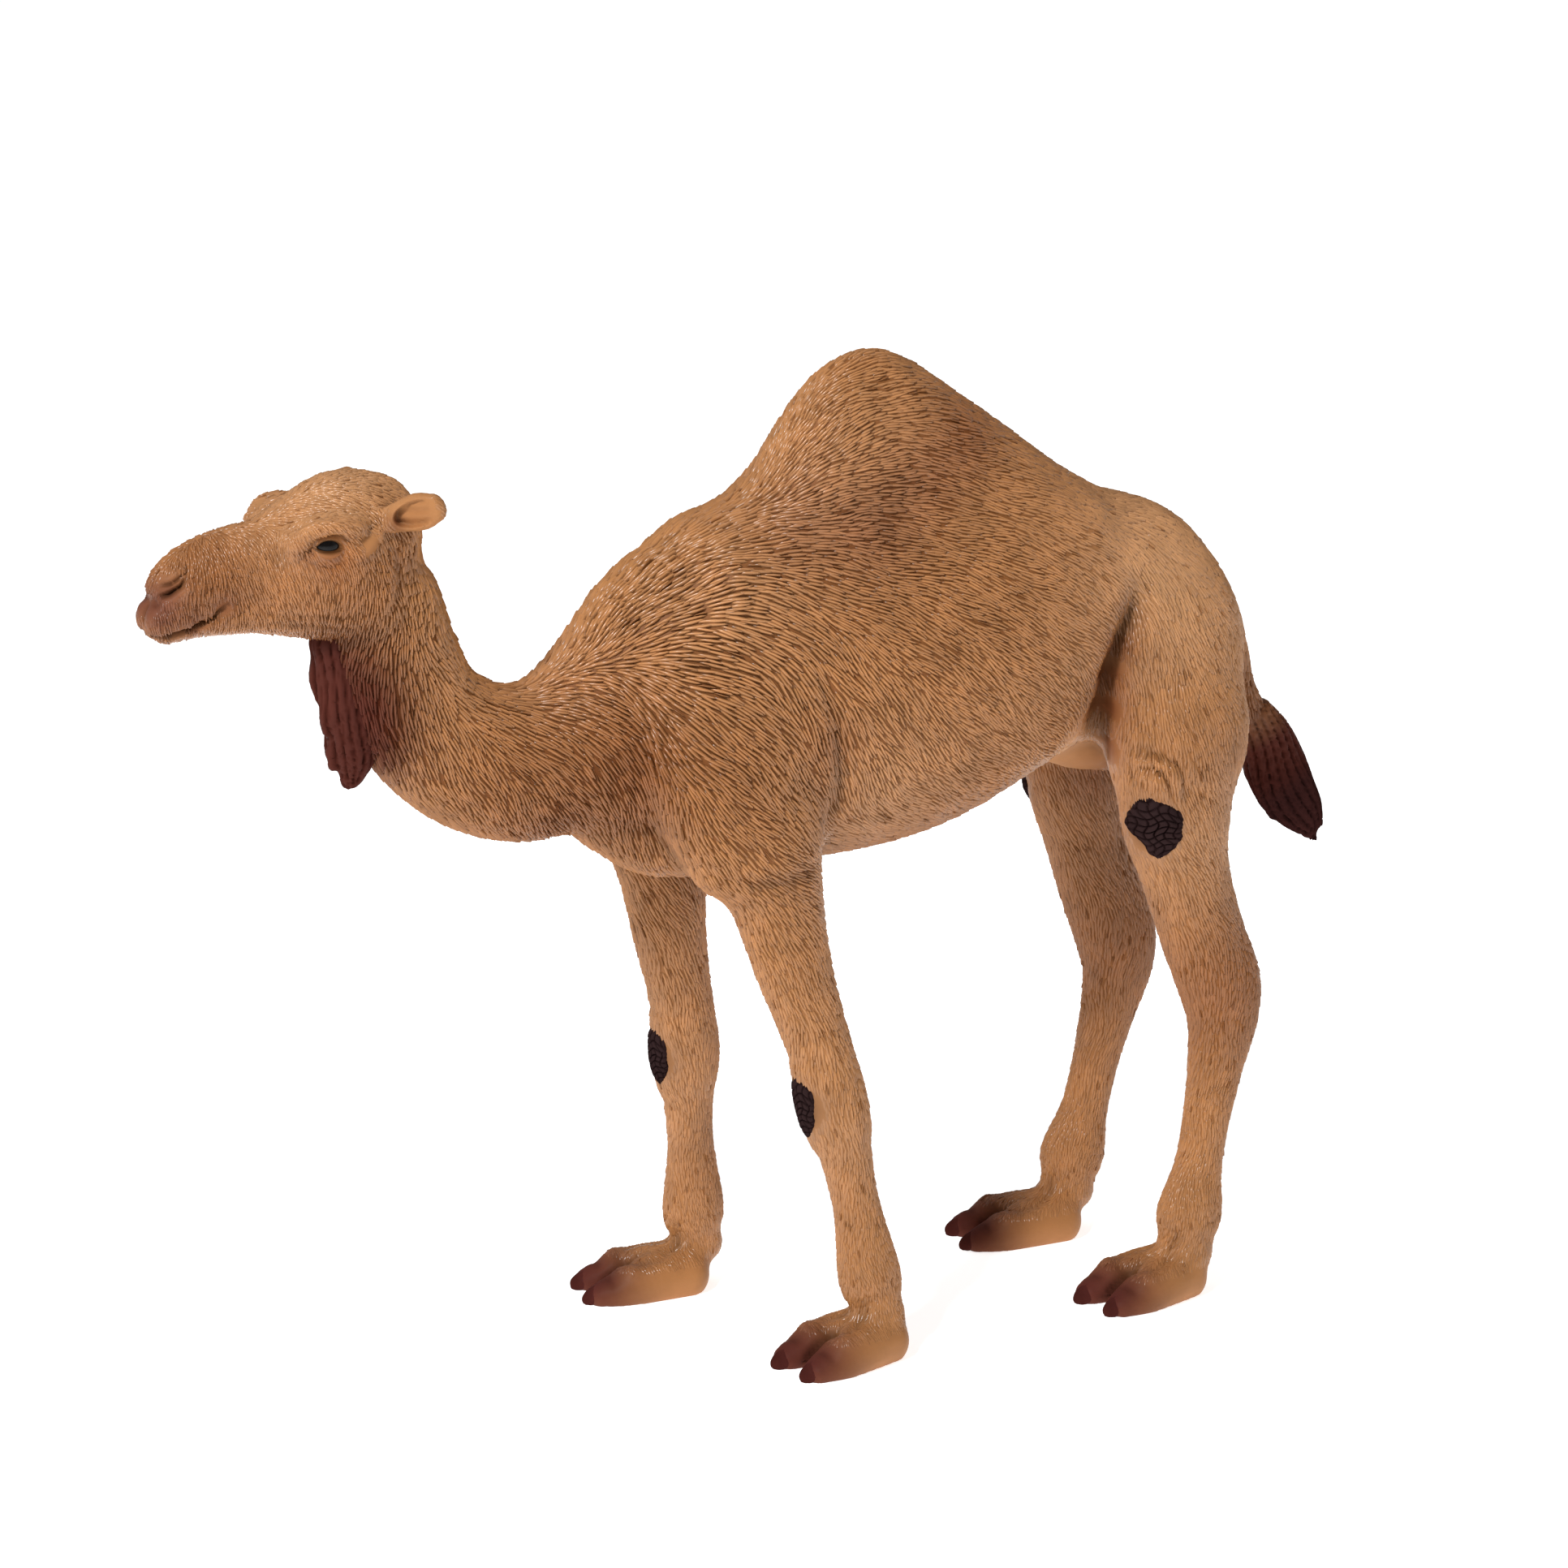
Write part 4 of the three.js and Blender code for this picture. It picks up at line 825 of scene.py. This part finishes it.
# coat: short raised locks, closely laid, with grooves left between them, the skin in them painted darker as
# shade
strokes = {
    "long": 2.0, "wide": 0.48, "rise": 1.0, "along": 0.5, "across": 0.5, "swing": 3.5, "seed": 11,
    "tried": 28, "shallowest": 0.06,    # seeds for each square millimetre, and the least depth
    "dashes": 0.03, "dashSize": (0.65, 0.34, 1), "dashShade": (0.78, 0.72, 0.64),    # a few short ones, painted darker as the shade of cut grooves
    "coarser": 0.42, "coarseAt": (-8, 76), "coarseReach": 12,
    "perPiece": 7800, "neckBase": -23, "legTop": 50,
    "mapCell": 2.0, "mapLeaf": 0.003}


def scattered(verts, tris, perArea, random):
    # points spread evenly by area over the triangles, with their weights in each
    a, b, c = verts[tris[:, 0]], verts[tris[:, 1]], verts[tris[:, 2]]
    area = np.linalg.norm(np.cross(b - a, c - a), axis=1) / 2
    count = int(area.sum() * perArea)
    index = np.searchsorted(np.cumsum(area), random.random(count) * area.sum())
    index = np.minimum(index, len(tris) - 1)
    u, v = np.sqrt(random.random(count)), random.random(count)
    return index, np.stack([1 - u, u * (1 - v), u * v], 1)


def coarseness(points):
    # bolder cutting around the shoulder, with stronger painted shade and highlight
    x, z = strokes["coarseAt"]
    apart = (points[:, 0] - x) ** 2 + (points[:, 2] - z) ** 2
    return 1 + strokes["coarser"] * np.exp(-apart / strokes["coarseReach"] ** 2)


def strokeSize(points, depth):
    # shorter and narrower on the face, the feet and the lower legs
    small = np.minimum(smoothStep(-43, -38, points[:, 0]) + smoothStep(84, 78, points[:, 2]), 1)
    low = smoothStep(4, 34, points[:, 2])
    size = (0.7 + 0.3 * small) * (0.8 + 0.2 * low) * coarseness(points)
    return strokes["long"] * size * (0.65 + 0.5 * depth), strokes["wide"] * (0.25 + 0.75 * size)


def chosenSeeds(points, lie, normals, long, wide, depth, random):
    # keeps a seed where no kept one lies inside its own stroke
    tree = KDTree(len(points))
    for i, point in enumerate(points):
        tree.insert(point, i)
    tree.balance()
    free = depth > strokes["shallowest"]
    kept = []
    cross = np.cross(normals, lie)
    sparse = 1 + 0.08 * smoothStep(0.6, 1, depth)
    for i in random.permutation(len(points)):
        if not free[i]:
            continue
        kept.append(i)
        along, across = strokes["along"] * long[i] * sparse[i], strokes["across"] * wide[i] * sparse[i]
        near = np.array([found[1] for found in tree.find_range(points[i], max(along, across))])
        gap = points[near] - points[i]
        inside = ((gap @ lie[i]) / along) ** 2 + ((gap @ cross[i]) / across) ** 2 < 1
        free[near[inside]] = False
    return np.array(kept)


def strokeMesh():
    # one stroke, a unit long and wide; its lift above the skin and its painted shade, dark at the edges with
    # a painted highlight along the crest, are kept as attributes
    spans = [(-0.3, 0.8, 0.65), (0.02, 1.0, 0.95), (0.34, 0.66, 1.1)]
    profile = [(-0.5, -0.06, 0.34), (-0.3, 0.15, 0.8), (0.0, 0.33, 1.24), (0.3, 0.15, 0.8),
               (0.5, -0.06, 0.34)]
    verts, lift, shade = [(-0.5, 0, 0)], [-0.04], [0.6]
    for x, wide, tall in spans:
        for y, z, dark in profile:
            verts.append((x, y * wide, 0))
            lift.append(z * tall if z > 0 else z)
            shade.append(dark)
    verts.append((0.5, 0, 0))
    lift.append(0.05)
    shade.append(0.9)
    count = len(profile)
    last = len(verts) - 1
    faces = [(0, 2 + i, 1 + i) for i in range(count - 1)]
    for row in (1, 1 + count):
        faces += [(row + i, row + i + 1, row + i + count + 1, row + i + count) for i in range(count - 1)]
    faces += [(last, last - count + i, last - count + i + 1) for i in range(count - 1)]
    piece = makeObject("stroke", np.array(verts) / mm, faces, None)
    storeAttribute(piece, "lift", lift)
    storeAttribute(piece, "shade", shade)
    return piece


def coatTree():
    # strokes on the seeds, turned by normal and lie, then laid down onto the skin
    tree = bpy.data.node_groups.new("layStrokes", "GeometryNodeTree")
    for name, kind in (("Seeds", "Geometry"), ("Skin", "Object"), ("Stroke", "Object"), ("Rise", "Float"),
                       ("Material", "Material")):
        tree.interface.new_socket(name=name, in_out="INPUT", socket_type="NodeSocket" + kind)
    tree.interface.new_socket(name="Coat", in_out="OUTPUT", socket_type="NodeSocketGeometry")
    given = tree.nodes.new("NodeGroupInput").outputs

    def named(name, kind="FLOAT_VECTOR"):
        node = addNode(tree, "GeometryNodeInputNamedAttribute", [("Name", name)], data_type=kind)
        return node.outputs["Attribute"]

    def objectMesh(socket):
        node = addNode(tree, "GeometryNodeObjectInfo", [("Object", given[socket])],
                       transform_space="ORIGINAL")
        return node.outputs["Geometry"]

    def product(a, b):
        return addNode(tree, "ShaderNodeMath", [(0, a), (1, b)], operation="MULTIPLY").outputs["Value"]

    points = addNode(tree, "GeometryNodeMeshToPoints", [("Mesh", given["Seeds"])])
    turn = addNode(tree, "FunctionNodeAxesToRotation", [
        ("Primary Axis", named("normal")), ("Secondary Axis", named("lie"))],
        primary_axis="Z", secondary_axis="X")
    place = addNode(tree, "GeometryNodeInstanceOnPoints", [
        ("Points", points.outputs["Points"]), ("Instance", objectMesh("Stroke")),
        ("Rotation", turn.outputs["Rotation"]), ("Scale", named("size"))])
    real = addNode(tree, "GeometryNodeRealizeInstances", [("Geometry", place.outputs["Instances"])])
    skinMesh = objectMesh("Skin")
    nearest = addNode(tree, "GeometryNodeProximity", [(0, skinMesh)], target_element="FACES")
    normal = addNode(tree, "GeometryNodeInputNormal").outputs["Normal"]
    upward = addNode(tree, "GeometryNodeSampleNearestSurface", [("Mesh", skinMesh), ("Value", normal)],
                     data_type="FLOAT_VECTOR")
    rise = product(product(named("lift", "FLOAT"), given["Rise"]), named("depth", "FLOAT"))
    offset = addNode(tree, "ShaderNodeVectorMath", [(0, upward.outputs["Value"]), ("Scale", rise)],
                     operation="SCALE")
    laid = addNode(tree, "GeometryNodeSetPosition", [
        ("Geometry", real.outputs["Geometry"]), ("Position", nearest.outputs["Position"]),
        ("Offset", offset.outputs["Vector"])])
    smooth = addNode(tree, "GeometryNodeSetShadeSmooth", [("Geometry", laid.outputs["Geometry"])])
    coloured = addNode(tree, "GeometryNodeSetMaterial", [
        ("Geometry", smooth.outputs["Geometry"]), ("Material", given["Material"])])
    addNode(tree, "NodeGroupOutput", [("Coat", coloured.outputs["Geometry"])])
    return tree


def skinMap():
    # an unwrap of a coarse copy of the skin, read at each root
    verts, tris = netted(forms, skinShape["low"], skinShape["high"], strokes["mapCell"])
    copy = makeObject("unwrapped", settled(forms, verts, 0), tris, None)
    bpy.ops.object.select_all(action="DESELECT")
    copy.select_set(True)
    bpy.context.view_layer.objects.active = copy
    bpy.ops.object.mode_set(mode="EDIT")
    bpy.ops.mesh.select_all(action="SELECT")
    bpy.ops.uv.smart_project(angle_limit=math.radians(66), island_margin=0.01)
    bpy.ops.object.mode_set(mode="OBJECT")
    spots = np.empty(len(copy.data.loops) * 2, np.float32)
    copy.data.uv_layers.active.data.foreach_get("uv", spots)
    spots = spots.reshape(-1, 3, 2)
    places = np.array([vertex.co for vertex in copy.data.vertices]) / mm
    corners = places[tris]
    lookup = BVHTree.FromPolygons(places.tolist(), tris.tolist())
    bpy.data.objects.remove(copy)
    return lookup, corners, spots


def rootsOn(skinMapParts, points):
    lookup, corners, spots = skinMapParts
    found = [lookup.find_nearest(point) for point in points]
    index = np.array([hit[2] for hit in found])
    at = np.array([hit[0] for hit in found])
    a, b, c = corners[index].transpose(1, 0, 2)
    whole = np.cross(b - a, c - a)
    size = (whole ** 2).sum(1)
    u = (np.cross(c - b, at - b) * whole).sum(1) / size
    v = (np.cross(a - c, at - c) * whole).sum(1) / size
    weights = np.clip(np.stack([u, v, 1 - u - v], 1), 0, 1)
    weights /= weights.sum(1)[:, None]
    return (spots[index] * weights[:, :, None]).sum(1)


def layCoat(name, seeds, tree, stroke, unwrap):
    cloud = makeObject(name + "Seeds", seeds["points"], [], None)
    for key in ("normal", "lie", "size", "paint", "depth"):
        storeAttribute(cloud, key, seeds[key])
    modifier = cloud.modifiers.new("lay", "NODES")
    modifier.node_group = tree
    given = {"Skin": skin, "Stroke": stroke, "Rise": strokes["rise"] * mm,
             "Material": materials["coat"]}
    for item in tree.interface.items_tree:
        if item.in_out == "INPUT" and item.name in given:
            modifier[item.identifier] = given[item.name]
    cloud.update_tag()
    ready = cloud.evaluated_get(bpy.context.evaluated_depsgraph_get())
    mesh = bpy.data.meshes.new_from_object(ready)
    mesh.name = name
    bpy.data.objects.remove(cloud)
    count = len(mesh.vertices)
    paint, shade = np.empty(count * 3, np.float32), np.empty(count, np.float32)
    mesh.attributes["paint"].data.foreach_get("vector", paint)
    mesh.attributes["shade"].data.foreach_get("value", shade)
    perStroke = count // len(seeds["points"])
    # the strokes' painted shade and highlight, stronger where they are cut deeper
    contrast = np.repeat(np.clip(1.3 * seeds["depth"] - 0.35, 0.25, seeds["coarse"]), perStroke)
    paint = paint.reshape(-1, 3) * (1 + (shade - 1) * contrast)[:, None]
    mesh.attributes["paint"].data.foreach_set("vector", paint.ravel())
    leaf = np.array([vertex.co[:2] for vertex in stroke.data.vertices])
    spots = np.repeat(rootsOn(unwrap, seeds["points"]), perStroke, 0)
    spots = spots + strokes["mapLeaf"] * np.tile(leaf, (len(seeds["points"]), 1))
    corner = np.empty(len(mesh.loops), np.int32)
    mesh.loops.foreach_get("vertex_index", corner)
    layer = mesh.uv_layers.new(name="OFBake")
    layer.data.foreach_set("uv", spots[corner].astype(np.float32).ravel())
    for extra in ("normal", "lie", "size", "depth", "lift", "shade"):
        if extra in mesh.attributes:
            mesh.attributes.remove(mesh.attributes[extra])
    piece = bpy.data.objects.new(name, mesh)
    scene.collection.objects.link(piece)
    return piece


def coatPieces():
    random = np.random.default_rng(strokes["seed"])
    index, weights = scattered(skinVerts, skinTris, strokes["tried"], random)
    corners = skinTris[index]

    def blended(values):
        return (values[corners] * weights[:, :, None]).sum(1)

    points, normals, paint = blended(skinVerts), blended(skinNormals), blended(skinPaint)
    normals /= np.linalg.norm(normals, axis=1)[:, None]
    lie, depth = lieOf(points, normals)
    swing = np.radians(random.normal(0, strokes["swing"], len(points)))[:, None]
    lie = lie * np.cos(swing) + np.cross(normals, lie) * np.sin(swing)
    long, wide = strokeSize(points, depth)
    kept = chosenSeeds(points, lie, normals, long, wide, depth, random)
    points, normals, lie, depth, paint = points[kept], normals[kept], lie[kept], depth[kept], paint[kept]
    vary = random.uniform(0.75, 1.3, len(kept))
    size = np.stack([long[kept] * vary, wide[kept] * random.uniform(0.85, 1.15, len(kept)), 0 * vary + 1], 1)
    paint = paint * random.uniform(0.9, 1.1, len(kept))[:, None]
    dash = random.random(len(kept)) < strokes["dashes"]
    size *= np.where(dash[:, None], strokes["dashSize"], 1)
    paint *= np.where(dash[:, None], strokes["dashShade"], 1)
    coarse = coarseness(points)
    depth = (0.1 + 1.15 * depth) * random.uniform(0.75, 1.15, len(kept)) * coarse + 0.2 * dash
    depth *= 1 - 0.16 * smoothStep(82, 90, points[:, 2])
    x, y, z = points.T
    neck = x < strokes["neckBase"]
    legs = (z < strokes["legTop"]) & ~neck
    areas = {"coatHeadAndNeck": neck, "coatLegs": legs, "coatTrunkLeft": (y < 0) & ~legs & ~neck,
             "coatTrunkRight": (y >= 0) & ~legs & ~neck}
    tree, stroke, unwrap = coatTree(), strokeMesh(), skinMap()
    pieces = []
    for name, chosen in areas.items():
        members = np.flatnonzero(chosen)
        parts = int(np.ceil(len(members) / strokes["perPiece"]))
        members = members[np.argsort(x[members], kind="stable")]
        for number, part in enumerate(np.array_split(members, parts)):
            seeds = {"points": points[part], "normal": normals[part], "lie": lie[part],
                     "size": size[part] * mm, "paint": paint[part], "depth": depth[part],
                     "coarse": coarse[part]}
            pieces.append(layCoat(f"{name}{number + 1}", seeds, tree, stroke, unwrap))
    bpy.data.objects.remove(stroke)
    print("coat:", len(points), "locks in", len(pieces), "pieces")
    return pieces


coat = coatPieces()


# pads, nails and eyes
widest = 1.25    # the farthest a ray of a patch turns away from its middle, in radians


def cast(origin, ways, farthest=12):
    # where each ray from inside leaves the body
    near, far = np.zeros(len(ways)), np.full(len(ways), farthest)
    for _ in range(16):
        middle = (near + far) / 2
        out = fieldOf(forms, origin + ways * middle[:, None]) > 0
        far, near = np.where(out, middle, far), np.where(out, near, middle)
    return origin + ways * near[:, None]


def patch(origin, out, up, half, rings, spokes, ragged, rise, relief):
    # a rounded patch over the skin, seen from origin inside it: half angles across and up, in radians
    out, up = axesAt(out, up)
    aside = np.cross(out, up)
    r = np.linspace(0, 1, rings + 1)[1:]
    angle = np.arange(spokes) / spokes * 2 * np.pi
    edge = 1 + ragged * (np.sin(3 * angle + 0.7) + 0.6 * np.sin(5 * angle + 2.1) + 0.5 * np.sin(2 * angle))
    jags = np.sin(13 * angle + 2 * np.sin(angle)) + np.sin(23 * angle + 3 * np.sin(2 * angle))
    edge = edge + 0.12 * ragged * jags
    across = np.concatenate([[0], (r[:, None] * edge * np.cos(angle)).ravel()])
    high = np.concatenate([[0], (r[:, None] * edge * np.sin(angle)).ravel()])
    share = np.concatenate([[0], np.repeat(r, spokes)])
    ways = out + np.tan(np.clip(across * half[0], -widest, widest))[:, None] * aside
    ways = ways + np.tan(np.clip(high * half[1], -widest, widest))[:, None] * up
    ways /= np.linalg.norm(ways, axis=1)[:, None]
    verts = cast(np.array(origin, float), ways)
    tris = [(0, 1 + i, 1 + (i + 1) % spokes) for i in range(spokes)]
    for ring in range(rings - 1):
        for i in range(spokes):
            a, b = 1 + ring * spokes + i, 1 + ring * spokes + (i + 1) % spokes
            tris += [(a, a + spokes, b), (b, a + spokes, b + spokes)]
    tris = np.array(tris)
    normals = normalsOf(verts, tris)
    if (normals[0] @ out) < 0:
        tris = tris[:, ::-1]
        normals = -normals
    lift = rise * (1 - share ** 6) - 0.2 * share ** 10 + relief(across, high) * (1 - share ** 4)
    return verts + lift[:, None] * normals, tris, relief(across, high)


cracks = {"wide": 0.28, "deep": 0.3}


def crossHatched(across, high):
    # two sets of cracks over the pad
    first = np.abs(np.sin(13 * (0.2 * across + high) + 1.1 * np.sin(6 * across)))
    second = np.abs(np.sin(10 * (across - 0.2 * high) + 1.2 * np.sin(7 * high)))
    wide = cracks["wide"]
    return -cracks["deep"] * np.maximum(np.exp(-(first / wide) ** 2), 0.9 * np.exp(-(second / wide) ** 2))


def ridged(across, high):
    return -0.05 * np.abs(np.sin(7 * across))


pads = {
    "knee": {"origin": (-0.4, 11.6, 27.6), "out": (-1, 0.02, 0), "half": (0.6, 0.76), "stride": frontStride},
    "stifle": {"origin": (43, 11, 53.2), "out": (-0.8, 0.7, 0), "half": (0.84, 0.74), "stride": hindStride}}
padShape = {"rings": 36, "spokes": 108, "ragged": 0.1, "rise": 0.28, "relief": crossHatched}


def addPads():
    made = []
    for name, pad in pads.items():
        for side, word in zip(sides, ("left", "right")):
            origin = strode([pad["origin"]], side, pad["stride"])[0]
            out = (pad["out"][0], side * pad["out"][1], pad["out"][2])
            verts, tris, relief = patch(origin, out, (0, 0, 1), pad["half"], **padShape)
            piece = makeObject(f"{name}Pad{word.title()}", verts, tris, materials["pad"])
            # painted shade in the cracks, and a painted sheen on the ridges between them
            shade = np.clip(1 + relief / 0.24, 0, 1)[:, None]
            storeAttribute(piece, "paint", linear(palette["black"]) * 0.6 * (1 - shade)
                           + linear(palette["padRidgeSheen"]) * shade)
            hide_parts(f"{name}_pad_{word}")
            made.append((piece, "callus"))
    return made


nails = {"ahead": 4.8, "out": 2.4, "z": 0.7, "half": (0.94, 0.95), "point": 0.5, "taper": 0.4}
nailShape = {"rings": 18, "spokes": 48, "ragged": 0, "rise": 0.08, "relief": ridged}


def addNails():
    made = []
    for name, foot in feet.items():
        for toe, v in (("inner", foot[2]), ("outer", -foot[2])):
            x, y = footPoint(foot, nails["ahead"], v * nails["out"])
            tipX, tipY = footPoint(foot, nails["ahead"] + 1, v * nails["out"])
            verts, tris, _ = patch((x, y, nails["z"]), (tipX - x, tipY - y, 0.12), (0, 0, 1), nails["half"],
                                   **nailShape)
            forward = np.array([tipX - x, tipY - y, 0])
            beside = np.array([-forward[1], forward[0], 0])
            tip = smoothStep(0.3, 2.1, (verts - (x, y, 0)) @ forward)[:, None]
            apart = ((verts - (x, y, 0)) @ beside)[:, None]
            verts = verts + tip * nails["point"] * forward - nails["taper"] * tip * apart * beside
            verts[:, 2] *= 1 - 0.3 * tip[:, 0]
            verts[:, 2] = np.maximum(verts[:, 2], 0)
            pieceName = "nail" + name.title().replace("_", "") + toe.title()
            piece = makeObject(pieceName, verts, tris, materials["nail"])
            storeAttribute(piece, "paint", linear(palette["toe"]) * (1 - 0.4 * tip))
            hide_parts(f"nail_{name}_{toe}")
            made.append((piece, "nail"))
    return made


def addEyes():
    made = []
    rings, spokes = eye["rings"], eye["spokes"]
    for side, word in zip(sides, ("left", "right")):
        verts = [(0, 0, 1)]
        for i in range(1, rings):
            tilt = math.pi * i / rings
            for j in range(spokes):
                turn = 2 * math.pi * j / spokes
                verts.append((math.sin(tilt) * math.cos(turn), math.sin(tilt) * math.sin(turn),
                              math.cos(tilt)))
        verts.append((0, 0, -1))
        last = len(verts) - 1
        faces = [(0, 1 + j, 1 + (j + 1) % spokes) for j in range(spokes)]
        for i in range(rings - 2):
            for j in range(spokes):
                a, b = 1 + i * spokes + j, 1 + i * spokes + (j + 1) % spokes
                faces.append((a, a + spokes, b + spokes, b))
        faces += [(last, last - spokes + (j + 1) % spokes, last - spokes + j) for j in range(spokes)]
        ball = eyePlaces[(side + 1) // 2] + eye["radius"] * np.array(verts)
        piece = makeObject(f"eye{word.title()}", ball, faces, materials["eye"])
        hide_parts(f"eye_{word}")
        made.append((piece, "eye"))
    return made


# throat mane and tail tuft: dark locks with long grooves
hairCell = 0.3    # of the nets over mane and tuft


def locks(name, rows, lobes, low, high, depth, twist, colours):
    own = [limb(rows, 0.6, 1.2)] + [limb(lobe, 0.6, 0.7) for lobe in lobes]
    verts, tris = netted(own, low, high, hairCell, 5)
    verts = settled(own, relaxed(settled(own, verts, 0), tris, 0.5), 0)
    normals = normalsOf(verts, tris)
    spine = sampled(rows, 0.3)[:, :3]
    nearest = np.linalg.norm(verts[:, None] - spine[None], axis=2).argmin(1)
    around = verts - spine[nearest]
    angle = np.arctan2(around[:, 1], around[:, 0])
    down = nearest * 0.3
    wave = 7 * angle + twist * np.sin(0.35 * down + angle) + 0.05 * down
    groove = np.abs(np.sin(wave))
    fine = np.abs(np.sin(2.6 * wave + 0.5 * np.sin(0.6 * down + 2 * angle)))
    bold, faint = np.exp(-(groove / 0.3) ** 2), np.exp(-(fine / 0.3) ** 2)
    verts = verts - (depth * bold + 0.35 * depth * faint)[:, None] * normals
    # painted shade in the grooves, and the rest painted lighter as a highlight
    shade = 1.15 - 0.6 * bold - 0.25 * faint
    stops = np.array([linear(palette[colour]) for colour in colours])
    colour = np.stack([np.interp(nearest / len(spine), (0, 0.2, 0.6), stop) for stop in stops.T], 1)
    piece = makeObject(name, verts, tris, materials["hair"])
    storeAttribute(piece, "paint", colour * shade[:, None])
    return piece


maneLobes = [
    [(-48.2, 0.6, 80, 1.4, 1.2), (-49.6, 0.4, 77.6, 1.3, 1.1), (-49.9, 0, 75.4, 0.6, 0.6)],
    [(-47.8, -0.8, 76.4, 1.5, 1.2), (-49.1, -0.6, 73.8, 1.2, 1), (-49.4, -0.4, 71.8, 0.5, 0.5)],
    [(-47.1, 0.6, 72.4, 1.6, 1.2), (-48.3, 0.4, 69.8, 1.1, 0.9), (-48.6, 0.2, 67.9, 0.5, 0.5)],
    [(-46, 0, 69, 1.4, 1.1), (-46.6, 0, 67, 1.1, 0.9), (-46.9, 0, 66, 0.8, 0.7)]]
tuftLobes = [
    [(61, 0, 58, 1.6, 1.3), (60.6, 0.4, 55.6, 1.2, 1), (60.4, 0.4, 53.6, 0.6, 0.6)],
    [(62.6, 0.4, 54, 1.8, 1.4), (62.6, 0.3, 51, 1.3, 1.1), (63, 0, 48.6, 0.5, 0.5)],
    [(66, 0, 52, 1.4, 1.2), (68, 0, 49.4, 1, 0.9), (69, 0, 46.8, 0.4, 0.4)],
    [(64.6, -0.6, 51, 1.5, 1.2), (66, -0.4, 47.8, 1, 0.9), (68.2, -0.2, 45.2, 0.4, 0.4)]]


maneShape = {"rows": maneRows, "lobes": maneLobes, "low": (-53, -4, 63), "high": (-41, 4, 86), "depth": 0.36,
             "twist": 0.9, "colours": ("mane", "mane", "mane")}
tuftShape = {"rows": tuftRows, "lobes": tuftLobes, "low": (56, -4, 43), "high": (72, 4, 64), "depth": 0.38,
             "twist": 1.1, "colours": ("umber", "maroon", "dark")}


def addHair():
    mane = locks("throatMane", **maneShape)
    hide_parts("throat_mane")
    tuft = locks("tailTuft", **tuftShape)
    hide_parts("tail_tuft")
    return [(mane, "dark_hair"), (tuft, "dark_hair")]


pieces = [(skin, "coat")] + [(piece, "coat") for piece in coat]
pieces += addPads() + addNails() + addEyes() + addHair()
print("pads, nails, eyes and hair made")


# hide the frame's flesh and attach every piece to the root
fleshNodes = ["head", "neck", "trunk", "tail"]
fleshNodes += [f"{name}_{word}" for name in ("ear", "leg_front", "leg_hind", "foot_front", "foot_hind")
               for word in ("left", "right")]
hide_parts(*fleshNodes)
for piece, slotName in pieces:
    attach(piece, "root")

print("triangles:", sum(len(piece.data.polygons) for piece, _ in pieces))
